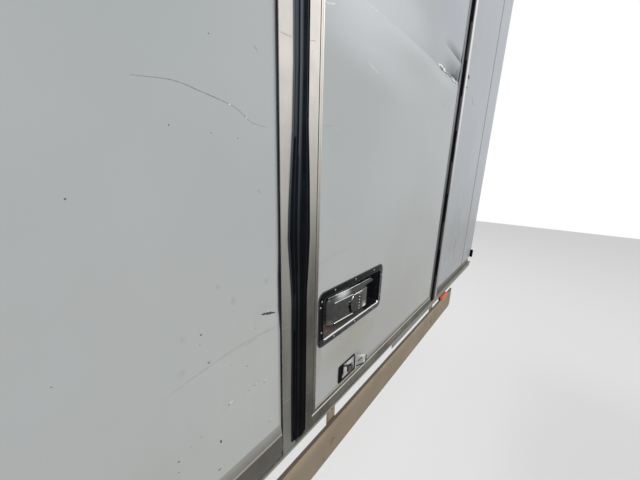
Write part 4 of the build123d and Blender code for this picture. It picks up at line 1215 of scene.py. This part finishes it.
# The cover's outline: (x, z) and the way its shoulder slopes out from there
notch_turn = math.asin(cover_half / notch_radius)
notch_x = notch_centre - notch_radius * math.cos(notch_turn)
cover_plan = [((notch_x, lever_middle + cover_half), (0.0, shoulder_top))]
for sign in (1, -1):
    for k in range(7):
        turn = math.pi / 2 * (1 + k / 6) if sign > 0 else math.pi / 2 * (2 + k / 6)
        corner_z = lever_middle + sign * (cover_half - cover_corner)
        slope_z = shoulder_top if sign > 0 else shoulder_foot
        cover_plan.append((
            (cover_rear + cover_corner * (1 + math.cos(turn)), corner_z + cover_corner * math.sin(turn)),
            (shoulder_rear * math.cos(turn), slope_z * math.sin(turn)),
        ))
cover_plan.append(((notch_x, lever_middle - cover_half), (0.0, -shoulder_foot)))
for k in range(1, 16):
    turn = math.pi + notch_turn - 2 * notch_turn * k / 16
    at = (notch_centre + notch_radius * math.cos(turn), lever_middle + notch_radius * math.sin(turn))
    cover_plan.append((at, (0.0, 0.0)))
# Its section: (share of the slope, depth below the face), and how much wider its foot is in the dish
cover_rise = 0.0112
cover_section = (
    (-0.12, 0.0), (-0.03, 0.0002), (0.04, 0.0010), (0.12, 0.0018), (0.94, 0.0100), (1.0, cover_rise),
)
cover_foot = 1.06
cover_mesh = bmesh.new()
cover_loops = []
for share, below in cover_section:
    cover_loops.append([
        (x + px * share, cad_skin + min(face_depth(x) + below, dish_depth - 0.001), z + pz * share)
        for (x, z), (px, pz) in cover_plan
    ])
cover_loops.append([
    (x + px * cover_foot, cad_skin + dish_depth, z + pz * cover_foot) for (x, z), (px, pz) in cover_plan
])
skinned(cover_mesh, cover_loops)
for face in cover_mesh.faces:
    middle = face.calc_center_median()
    if middle.z > lever_middle + cover_half - 0.001:
        face.material_index = 1
    elif middle.x < cover_rear + 0.001 and abs(face.normal.y) < 0.99:
        face.material_index = 2
# The shoulder goes on above the lever and the finger pocket as a ledge along the dish's top
ledge_ends = ((notch_x, 1.0), (-0.452, 1.0), (-0.440, 0.8), (-0.389, 0.7))
ridge_z = lever_middle + cover_half
ledge_loops = []
for x, size in ledge_ends:
    low = ridge_z + shoulder_top * (1 - size)
    near = cover_depth + cover_rise * (1 - size) + 0.0008
    ledge_loops.append([
        (x, cad_skin + near, low), (x, cad_skin + cover_depth + cover_rise, ridge_z + shoulder_top),
        (x, cad_skin + dish_depth, ridge_z + shoulder_top + 0.001), (x, cad_skin + dish_depth, low),
    ])
for loop in skinned(cover_mesh, ledge_loops):
    for vert in loop:
        for face in vert.link_faces:
            face.material_index = 1
# Painted highlights on the shoulder, a grey one along the ridge and a white blob above it, on a darker copy
# of the steel.
glints = (
    ((-0.560, cad_skin + 0.012, ridge_z + 0.004), (0.040, 0.05, 0.012), 0.8, (0.26, 0.265, 0.26, 1)),
    ((-0.545, cad_skin + 0.012, ridge_z + 0.0175), (0.044, 0.06, 0.023), 1.0, (0.97, 0.98, 0.98, 1)),
)
shoulder_steel = polished_steel("shoulder_steel", (0.040, 0.042, 0.042), (0.048, 0.050, 0.050), 0.6, glints)
# The rear slope: a darker copy as painted shade, lighter at its foot as painted light; the face a dark copy
# as painted reflection.
slope_foot = (cover_rear - 0.010, cad_skin + 0.018, lever_middle - cover_half)
foot_light = (slope_foot, (0.05, 0.05, 0.022), 1.0, (0.16, 0.16, 0.155, 1))
slope_steel = polished_steel(
    "rear_slope_steel", (0.034, 0.035, 0.034), (0.05, 0.05, 0.05), 0.5, (foot_light,))
cover_steel = polished_steel("cover_steel", (0.056, 0.059, 0.054), steel_bright)
cover_steels = (cover_steel, shoulder_steel, slope_steel)
cover = piece("lock_cover_pressing", cover_mesh, cover_steels, "door", 0.6)
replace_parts(cover, "lock_cover")


# Beads: half-round swages along the cover's upper and lower edge and along the ledge. They stiffen the
# sheet, and their upper sides are painted bright as a painted highlight, with the shoulder's white painted
# highlight on them too.

def bead(bm, start, stop, half, out, steps=8):
    """A half-round bead between two (x, y, z) places on a face, drawn out to a point at both ends."""
    loops = []
    for share, size in ((0.0, 0.15), (0.02, 0.7), (0.05, 1.0), (0.95, 1.0), (0.98, 0.7), (1.0, 0.15)):
        at = Vector(start).lerp(Vector(stop), share)
        arc = [math.pi * k / steps for k in range(steps + 1)]
        loops.append([(at.x, at.y - out * size * math.sin(a), at.z + half * size * math.cos(a)) for a in arc])
    skinned(bm, loops)


beads = bmesh.new()
bead_inset = 0.0032
bead_half = 0.0029
for z in (lever_middle + cover_half - bead_inset, lever_middle - cover_half + bead_inset):
    rear_end = cover_rear + 0.004
    front_end = notch_x - 0.003 if z > lever_middle else notch_x + 0.0005
    depths = [cad_skin + face_depth(x) + 0.0002 for x in (rear_end, front_end)]
    bead(beads, (rear_end, depths[0], z), (front_end, depths[1], z), bead_half, 0.0026)
ledge_edge = ridge_z + shoulder_top - 0.0008
for rear_end, front_end, half in (
    (cover_rear - 0.011, -0.575, 0.0018), (-0.578, notch_x, 0.0034), (notch_x - 0.002, -0.455, 0.0034),
    (-0.453, -0.390, 0.0018),
):
    depths = [cad_skin + face_depth(x) + 0.0100 for x in (rear_end, front_end)]
    bead(beads, (rear_end, depths[0], ledge_edge), (front_end, depths[1], ledge_edge), half, half)
bead_steel = polished_steel("bead_steel", (0.030, 0.031, 0.032), steel_bright, 1.0, glints[1:])
piece("lock_beads", beads, bead_steel, "door", 0.9)


# Pull lever: a strip of the same steel with its sides turned in, on a pin behind the cover. It is
# nearly level as far as its bend, and from there it slopes in to the finger pocket.

lever_out = 0.0030
lever_fall = 0.045
lever_half = 0.0302
lever_round = 0.0265
lever_flat = -0.466
half_bend = 0.0008
lever_end = -0.4370
lever_sheet = 0.003
lever_side = 0.009
tail_slope = math.tan(math.radians(4))


def lever_depth(x):
    """Depth of the lever's face: nearly level, then bent in towards the finger pocket."""
    level = lever_out - lever_fall * (x - notch_centre)
    return level + max(0.0, x - lever_flat) * tail_slope


def lever_loop(x, half):
    """The lever's section at x: a flat face with rounded edges and two sides turned in."""
    face = cad_skin + lever_depth(x)
    wall = min(lever_sheet, 0.4 * half)
    edge = min(0.0012, 0.4 * half)
    side = min(face + lever_side, cad_skin + dish_depth - 0.001)
    outer = (
        (half, side), (half, face + edge), (half - edge, face), (edge - half, face), (-half, face + edge),
        (-half, side),
    )
    inner = ((wall - half, side), (wall - half, face + wall), (half - wall, face + wall), (half - wall, side))
    return [(x, y, lever_middle + z) for z, y in outer + inner]


lever_mesh = bmesh.new()
lever_loops = []
for k in range(1, 15):
    turn = math.pi / 2 * k / 14
    lever_loops.append(lever_loop(notch_centre - lever_round * math.cos(turn), lever_half * math.sin(turn)))
for x in (-0.478, lever_flat - half_bend, lever_flat + half_bend, -0.451, lever_end):
    lever_loops.append(lever_loop(x, lever_half))
skinned(lever_mesh, lever_loops)
for face in lever_mesh.faces:
    if face.calc_center_median().x > lever_flat + half_bend:
        face.material_index = 1
# The tail's beige colour and the bright spot near its foot are painted reflection and a painted highlight.
shine = (
    ((-0.453, cad_skin, lever_middle - 0.019), (0.020, 0.05, 0.015), 0.8, (0.34, 0.30, 0.245, 1)),
    ((-0.448, cad_skin, lever_middle - 0.025), (0.012, 0.05, 0.008), 1.0, (0.95, 0.93, 0.86, 1)),
)
lever_steel = polished_steel("lever_steel", (0.040, 0.042, 0.041), steel_bright)
tail_steel = polished_steel("lever_tail_steel", (0.034, 0.033, 0.031), (0.24, 0.22, 0.19), 0.3, shine)
lever = piece("pull_lever", lever_mesh, (lever_steel, tail_steel), "paddle", 0.6)
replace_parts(lever, "paddle")


# Grip on the lever: a row of six low bumps pressed out of its face, and a bead along its upper edge.
# Their upward faces are painted bright as a painted highlight.

def turns(count):
    """Angles of evenly spaced points round a circle."""
    return [2 * math.pi * i / count for i in range(count)]


def dome(bm, x, z, y, radius, height, rings=4, around=14):
    """A low round head that stands out from a face at y."""
    loops = []
    for k in range(rings + 1):
        turn = math.pi / 2 * k / (rings + 1)
        reach = radius * math.cos(turn)
        out = height * math.sin(turn)
        loops.append([(x + reach * math.cos(a), y - out, z + reach * math.sin(a)) for a in turns(around)])
    skinned(bm, loops)


bumps = bmesh.new()
bump_x = -0.4775
bump_face = cad_skin + lever_depth(bump_x) + 0.0003
lowest_bump = lever_middle - 0.0265
bump_pitch = 0.0095
for k in range(6):
    dome(bumps, bump_x, lowest_bump + k * bump_pitch, bump_face, 0.0029, 0.0018)
top_bead = lever_middle + lever_half - bead_inset
ends = [(x, cad_skin + lever_depth(x) + 0.0002, top_bead) for x in (notch_centre - 0.017, lever_flat)]
bead(bumps, *ends, bead_half, 0.0024)
piece("lever_bumps", bumps, bead_steel, "paddle", 0.9)


# Rivets: low round steel heads that hold the flange to the skin, with a second one close beside the
# upper rear one, and a smaller one on the cover.

rivets = bmesh.new()
cover_rivet = (-0.5245, 0.3040)
dome(rivets, *cover_rivet, cad_skin + face_depth(cover_rivet[0]) + 0.0003, 0.0026, 0.0016)
for x, z in (
    (-0.607, 0.3705), (-0.5106, 0.3705), (-0.408, 0.3705), (-0.6585, 0.356), (-0.6640, 0.342),
    (-0.6575, 0.272), (-0.605, 0.2375), (-0.504, 0.2375), (-0.402, 0.2375), (-0.3565, 0.340),
    (-0.3565, 0.268),
):
    dome(rivets, x, z, cad_skin - flange_out + 0.0002, 0.0031, 0.0014)
# Their upper sides take the polished steel's painted highlight.
rivet_finish = polished_steel("rivet_steel", (0.11, 0.11, 0.105), (0.60, 0.60, 0.59), 0.8)
piece("pan_rivets", rivets, rivet_finish, "door")


# Latch bolt and its keeper in the post: plain bars of the same polished steel.

dress(steel, "latch_bolt", "latch_keeper")


# Lower catch: a black moulded frame let into the skin, with a thin raised rim round its mouth. Behind
# it lies a core of oily steel.

black_finish = rubber(
    "black_moulding", (0.005, 0.005, 0.006), (0.010, 0.010, 0.012), 0.45, 0.3, (0.020, 0.021, 0.023))
oily_steel = flat_finish("oily_steel", (0.010, 0.009, 0.008), (0.045, 0.040, 0.032), 0.45)
dress(oily_steel, "catch_core")
frame_low, frame_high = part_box("catch_pan")
frame_foot = 0.063
frame_top = 0.119
frame_proud = 0.003
catch_depth = 0.025
outline = (frame_low.x, frame_high.x, frame_foot, frame_top)
mouth = (frame_low.x + 0.018, frame_high.x - 0.0010, frame_foot + 0.003, frame_top - 0.0032)


def catch_ring(bounds, grow, out):
    """One ring of the frame: its outline or its mouth, a little larger, at a distance out."""
    low_x, high_x, low_z, high_z = bounds
    ring = round_box(low_x - grow, high_x + grow, low_z - grow, high_z + grow, 0.005)
    return [(x, cad_skin - out, z) for x, z in ring]


frame_mesh = bmesh.new()
rings = skinned(frame_mesh, [
    catch_ring(outline, 0.0, -0.0002), catch_ring(outline, 0.0, frame_proud - 0.0010),
    catch_ring(outline, -0.0008, frame_proud), catch_ring(mouth, 0.0006, frame_proud),
    catch_ring(mouth, 0.0, frame_proud - 0.0006), catch_ring(mouth, 0.0, -catch_depth),
], close=False)
frame_mesh.faces.new(rings[-1])
catch_frame = piece("catch_frame", frame_mesh, black_finish, "door", 0.7)
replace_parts(catch_frame, "catch_pan")


# Plates in the catch's mouth: bright sheet, one piece under the top edge and one upright on each side.
# How they are held can't be seen. Their pale and mid-grey patches are a painted reflection of the skin.

mirror_steel = flat_finish("mirror_steel", (0.30, 0.30, 0.29), (0.62, 0.62, 0.60), 0.4, 55.0)
plates = bmesh.new()
# By their corners (x, z)
for corners in (
    ((-0.5545, 0.1150), (-0.4915, 0.1145), (-0.4935, 0.0930), (-0.5160, 0.0945), (-0.5420, 0.1070)),
    ((-0.5440, 0.1020), (-0.5270, 0.0920), (-0.5250, 0.0670), (-0.5440, 0.0670)),
    ((-0.5010, 0.0860), (-0.4930, 0.0850), (-0.4920, 0.0690), (-0.4990, 0.0680)),
):
    skinned(plates, [[(x, cad_skin + y, z) for x, z in corners] for y in (0.0010, 0.0022)])
piece("catch_plates", plates, mirror_steel, "door", 0.5)


# Hook of the catch: a thin round arm that comes down to a claw of thick plate, both dark with grease.

hook = bmesh.new()
arm = finer(((-0.548, 0.1090), (-0.532, 0.0990), (-0.518, 0.0905), (-0.508, 0.0870)), 0.003)
arm_loops = []
for x, z in arm:
    arm_loops.append([
        (x, cad_skin + 0.0030 * math.sin(a) - 0.0005, z + 0.0026 * math.cos(a)) for a in turns(8)
    ])
skinned(hook, arm_loops)
claw = finer((
    (-0.524, 0.0930), (-0.505, 0.0885), (-0.4985, 0.0800), (-0.5020, 0.0700), (-0.5150, 0.0665),
    (-0.5235, 0.0745), (-0.5225, 0.0860),
), 0.003)
skinned(hook, [[(x, cad_skin + y, z) for x, z in claw[:-1]] for y in (-0.0022, 0.010)])
hook_steel = flat_finish("hook_steel", (0.004, 0.004, 0.004), (0.035, 0.032, 0.026), 0.4, 160.0)
piece("catch_hook", hook, hook_steel, "door", 0.8)


# Flap of the catch: a polished plate, slightly bulged, that stands open on its upright pin. The pin has
# a knuckle at each end.

pin = Vector((-0.4925, -0.112))
flap_turn = math.radians(40)
flap_along = Vector((math.cos(flap_turn), -math.sin(flap_turn)))
flap_out = Vector((-math.sin(flap_turn), -math.cos(flap_turn)))
flap_length = 0.033
flap_foot = ((0.0, 0.0790), (flap_length, 0.0890))
flap_top = ((0.0, 0.1160), (flap_length, 0.1190))


def on_flap(along, z, out):
    """A place on the flap: distance from its pin, height, distance out of its face."""
    at = pin + flap_along * along + flap_out * out
    return (at.x, at.y, z)


flap = bmesh.new()
flap_loops = []
for along in (-0.001, 0.0, 0.004, 0.010, 0.016, 0.022, 0.028, 0.0318, 0.033):
    corner = 0.002 if along > 0.032 else 0.0
    low = between(flap_foot, along) + corner
    high = between(flap_top, along) - corner
    bulge = 0.0016 * math.sin(math.pi * min(1.0, max(0.0, along) / flap_length))
    section = (
        (low, 0.0002), (low + 0.0012, 0.0014), ((low + high) / 2, 0.0014 + bulge), (high - 0.0012, 0.0014),
        (high, 0.0002), (high, -0.0013), (low, -0.0013),
    )
    flap_loops.append([on_flap(along, z, out) for z, out in section])
skinned(flap, flap_loops)
for size, low, high in ((0.0018, 0.0655, 0.1165), (0.0036, 0.0640, 0.0662), (0.0036, 0.1160, 0.1180)):
    around_pin = [(pin.x + size * math.cos(a), pin.y + size * math.sin(a)) for a in turns(8)]
    skinned(flap, [[(x, y, z) for x, y in around_pin] for z in (low, high)])
# The flap is the same sheet, its patches a painted reflection.
flap_plate = piece("catch_flap_plate", flap, mirror_steel, "catch_flap", 0.6)
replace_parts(flap_plate, "catch_flap")


# Trim on the flap: black moulded edging along its free and its lower edge, and a short bar across its
# face. How it is fixed can't be seen.

# Each strip runs from one place to another, given as (way from the pin, height), with its width
trim = bmesh.new()
trim_out = 0.0024
trim_half = 0.0012
for (from_pin, start_z), (to_pin, stop_z), width in (
    ((0.0322, 0.1180), (0.0322, 0.0900), 0.0030),
    ((0.0010, 0.0795), (0.0300, 0.0892), 0.0028),
    ((0.0200, 0.1110), (0.0060, 0.0960), 0.0022),
):
    loops = []
    across = Vector((stop_z - start_z, from_pin - to_pin)).normalized()
    for share in (0.0, 0.1, 0.5, 0.9, 1.0):
        along = from_pin + (to_pin - from_pin) * share
        z = start_z + (stop_z - start_z) * share
        size = width * (0.35 if share in (0.0, 1.0) else 1.0)
        loops.append([on_flap(
            along + across.x * size / 2 * math.cos(a), z + across.y * size / 2 * math.cos(a),
            trim_out + trim_half * math.sin(a),
        ) for a in turns(8)])
    skinned(trim, loops)
piece("catch_flap_trim", trim, black_finish, "catch_flap", 0.8)


# Load-space side, which the photograph doesn't show, so all of it is guessed: kick plates of brushed
# sheet low down, the threshold plate, and the green release knob on its rose. The hinge's pin, guessed
# too, is the same bare metal.

def brushed_sheet(name, base, tone):
    """Brushed sheet metal with scuffs and dull smears."""
    material, tree, shader, position = finish_of(name)
    lines = drawn_lines(tree, position, (5.0, 500.0, 500.0), 3.0)
    smears = clouds_at(tree, position, 9.0, 5.0)
    colour = over(tree, stretch(tree, lines, 0.3, 0.7), (*base, 1), (*tone, 1))
    scuffs = effect_mask(tree, "hairlines", position, Angle=0.1, Scale=7.0, Share=0.7)
    colour = over(tree, scuffs, colour, (0.22, 0.21, 0.2, 1))
    colour = over(tree, stretch(tree, smears, 0.5, 0.8, 0.0, 0.5), colour, (0.30, 0.29, 0.26, 1))
    tree.links.new(colour, shader.inputs["Base Color"])
    tree.links.new(sums(tree, "MULTIPLY_ADD", smears, 0.35, 0.18), shader.inputs["Roughness"])
    raise_by(tree, shader, lines, 0.00006, 0.6)
    shader.inputs["Metallic"].default_value = 0.8
    return material


sheet_finish = brushed_sheet("brushed_plate", (0.52, 0.53, 0.54), (0.64, 0.65, 0.66))
dress(sheet_finish, "inner_plates", "leaf_inner_plate", "threshold_plate", "release_rose", "hinge_pin")
dress(flat_finish("green_moulding", (0.018, 0.16, 0.075), (0.03, 0.21, 0.10), 0.42, 700.0), "release_knob")


# Side guard: a folded beam in beige paint, chipped to primer and rust along its top bend, with two domed
# bolts on its face. Its three hangers from the floor rail are guessed.

def worn_paint(name, base, darker, rust):
    """Old chassis paint: dusty, faded in clouds, chipped along its bends with rust around each chip."""
    material, tree, shader, position = finish_of(name)
    clouds = clouds_at(tree, position, 6.0, 6.0)
    colour = over(tree, stretch(tree, clouds, 0.35, 0.68), (*base, 1), (*darker, 1))
    fine = clouds_at(tree, position, 55.0, 5.0)
    halo = stretch(tree, fine, 0.64, 0.70)
    bare = stretch(tree, fine, 0.685, 0.70)
    upward = stretch(tree, facing_of(tree)["Z"], 0.25, 0.6, 0.0, 0.9)
    rusty = sums(tree, "MAXIMUM", sums(tree, "MULTIPLY", halo, 0.35), upward)
    colour = over(tree, rusty, colour, (*rust, 1))
    colour = over(tree, bare, colour, (0.045, 0.028, 0.02, 1))
    splash = effect_mask(tree, "low_down_mask", position, Low=-0.105, High=-0.070, Amount=1.0, Break=0.2)
    colour = over(tree, splash, colour, (*(c * 0.66 for c in base), 1))
    specks = effect_mask(tree, "grit_specks", position, Scale=90.0, Size=0.10, Share=0.05)
    colour = over(tree, specks, colour, (0.11, 0.092, 0.075, 1))
    tree.links.new(colour, shader.inputs["Base Color"])
    tree.links.new(sums(tree, "MULTIPLY_ADD", clouds, 0.25, 0.45), shader.inputs["Roughness"])
    raise_by(tree, shader, sums(tree, "MULTIPLY_ADD", bare, -0.6, fine), 0.0004)
    return material


beige = worn_paint("beige_paint", (0.300, 0.228, 0.147), (0.215, 0.162, 0.105), (0.062, 0.040, 0.027))
dress(beige, "guard_beam", "guard_hangers")
bolts = bmesh.new()
for x in (-0.585, 0.329):
    dome(bolts, x, -0.138, cad_skin, 0.011, 0.005, 5, 20)
piece("guard_bolts", bolts, beige, "wall")


# Marker lamp: an orange lens with upright ribs on a black base that hangs from the rail. Only a few
# pixels of it show, so its shape is guessed.

dress(black_finish, "lamp_base")


def inset(outline, distance):
    """A closed outline of (x, z) points moved inwards, anticlockwise outlines only."""
    moved = []
    count = len(outline)
    for i, point in enumerate(outline):
        before = (Vector(point) - Vector(outline[i - 1])).normalized()
        after = (Vector(outline[(i + 1) % count]) - Vector(point)).normalized()
        normal = Vector((-before.y - after.y, before.x + after.x))
        normal = normal.normalized() / max(0.35, math.sqrt((1 + before.dot(after)) / 2))
        moved.append((point[0] + normal.x * distance, point[1] + normal.y * distance))
    return moved


lens_low, lens_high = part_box("lamp_lens")
lens_outline = round_box(lens_low.x, lens_high.x, lens_low.z, lens_high.z, 0.008)
# Its section, from the back to the face: (distance in from the outline, place along y)
lens_section = (
    (0.0, lens_high.y), (0.0, lens_low.y + 0.006), (0.0008, lens_low.y + 0.003),
    (0.0026, lens_low.y + 0.0011), (0.005, lens_low.y + 0.0006),
)
lens_mesh = bmesh.new()
skinned(lens_mesh, [[(x, y, z) for x, z in inset(lens_outline, distance)] for distance, y in lens_section])
rib_count = 9
rib_half = 0.0016
rib_out = 0.0008
for k in range(rib_count):
    x = lens_low.x + 0.010 + (lens_high.x - lens_low.x - 0.020) * k / (rib_count - 1)
    rib = [(x + rib_half * math.cos(a), lens_low.y + rib_out + rib_out * math.sin(a)) for a in turns(10)]
    skinned(lens_mesh, [[(px, py, z) for px, py in rib] for z in (lens_low.z + 0.004, lens_high.z - 0.004)])
lens_finish = flat_finish("orange_lens", (0.60, 0.085, 0.012), (0.72, 0.13, 0.02), 0.25)
lens = piece("lamp_lens_ribbed", lens_mesh, lens_finish, "wall", 0.7)
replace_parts(lens, "lamp_lens")


# Studio: a plain pale floor at road level, a white surround and two large soft lamps.

road_level = -0.70
floor_half = 9.0
floor_mesh = bmesh.new()
ground = Matrix.Translation((0, 0, road_level))
bmesh.ops.create_grid(floor_mesh, x_segments=2, y_segments=2, size=floor_half, matrix=ground)
floor_data = bpy.data.meshes.new("studio_floor")
floor_mesh.to_mesh(floor_data)
floor_mesh.free()
floor = bpy.data.objects.new("studio_floor", floor_data)
bpy.context.scene.collection.objects.link(floor)
floor_finish, _, floor_shader, _ = finish_of("studio_floor")
floor_shader.inputs["Base Color"].default_value = (0.80, 0.80, 0.80, 1)
floor_shader.inputs["Roughness"].default_value = 0.9
floor_data.materials.append(floor_finish)

world = bpy.data.worlds.new("studio")
bpy.context.scene.world = world
world.use_nodes = True
light_level = 0.70
sky = world.node_tree
rays = node(sky, "ShaderNodeLightPath").outputs
mirrored = sums(sky, "MAXIMUM", rays["Is Glossy Ray"], rays["Is Transmission Ray"])
seen = sums(sky, "MAXIMUM", rays["Is Camera Ray"], mirrored)
strength = sums(sky, "MULTIPLY_ADD", seen, 1.0 - light_level, light_level)
sky.links.new(strength, sky.nodes["Background"].inputs["Strength"])
sky.nodes["Background"].inputs["Color"].default_value = (1, 1, 1, 1)


def soft_lamp(name, place, aim, size, power):
    """A large square area lamp pointed at a place."""
    light = bpy.data.lights.new(name, "AREA")
    light.size = size
    light.energy = power
    lamp = bpy.data.objects.new(name, light)
    lamp.location = place
    lamp.rotation_euler = (Vector(aim) - Vector(place)).to_track_quat("-Z", "Y").to_euler()
    bpy.context.scene.collection.objects.link(lamp)


soft_lamp("front_lamp", (-2.5, -4.5, 4.2), (-0.3, 0.0, 0.8), 3.0, 130.0)
soft_lamp("inner_lamp", (1.0, 4.5, 3.8), (0.0, 0.0, 1.0), 3.0, 90.0)


# Camera: 0.36 m off the skin, in the place and direction that the wall's straight edges give.

camera_data = bpy.data.cameras.new("camera")
camera_data.lens = 14.625
camera_data.clip_start = 0.01
camera = bpy.data.objects.new("camera", camera_data)
camera.matrix_world = Matrix((
    (0.6470, 0.1671, -0.7439, -1.100),
    (-0.7621, 0.1741, -0.6237, -0.465),
    (0.0253, 0.9704, 0.2400, 0.650),
    (0, 0, 0, 1),
))
bpy.context.scene.collection.objects.link(camera)
bpy.context.scene.camera = camera
bpy.context.scene.view_settings.view_transform = "Standard"
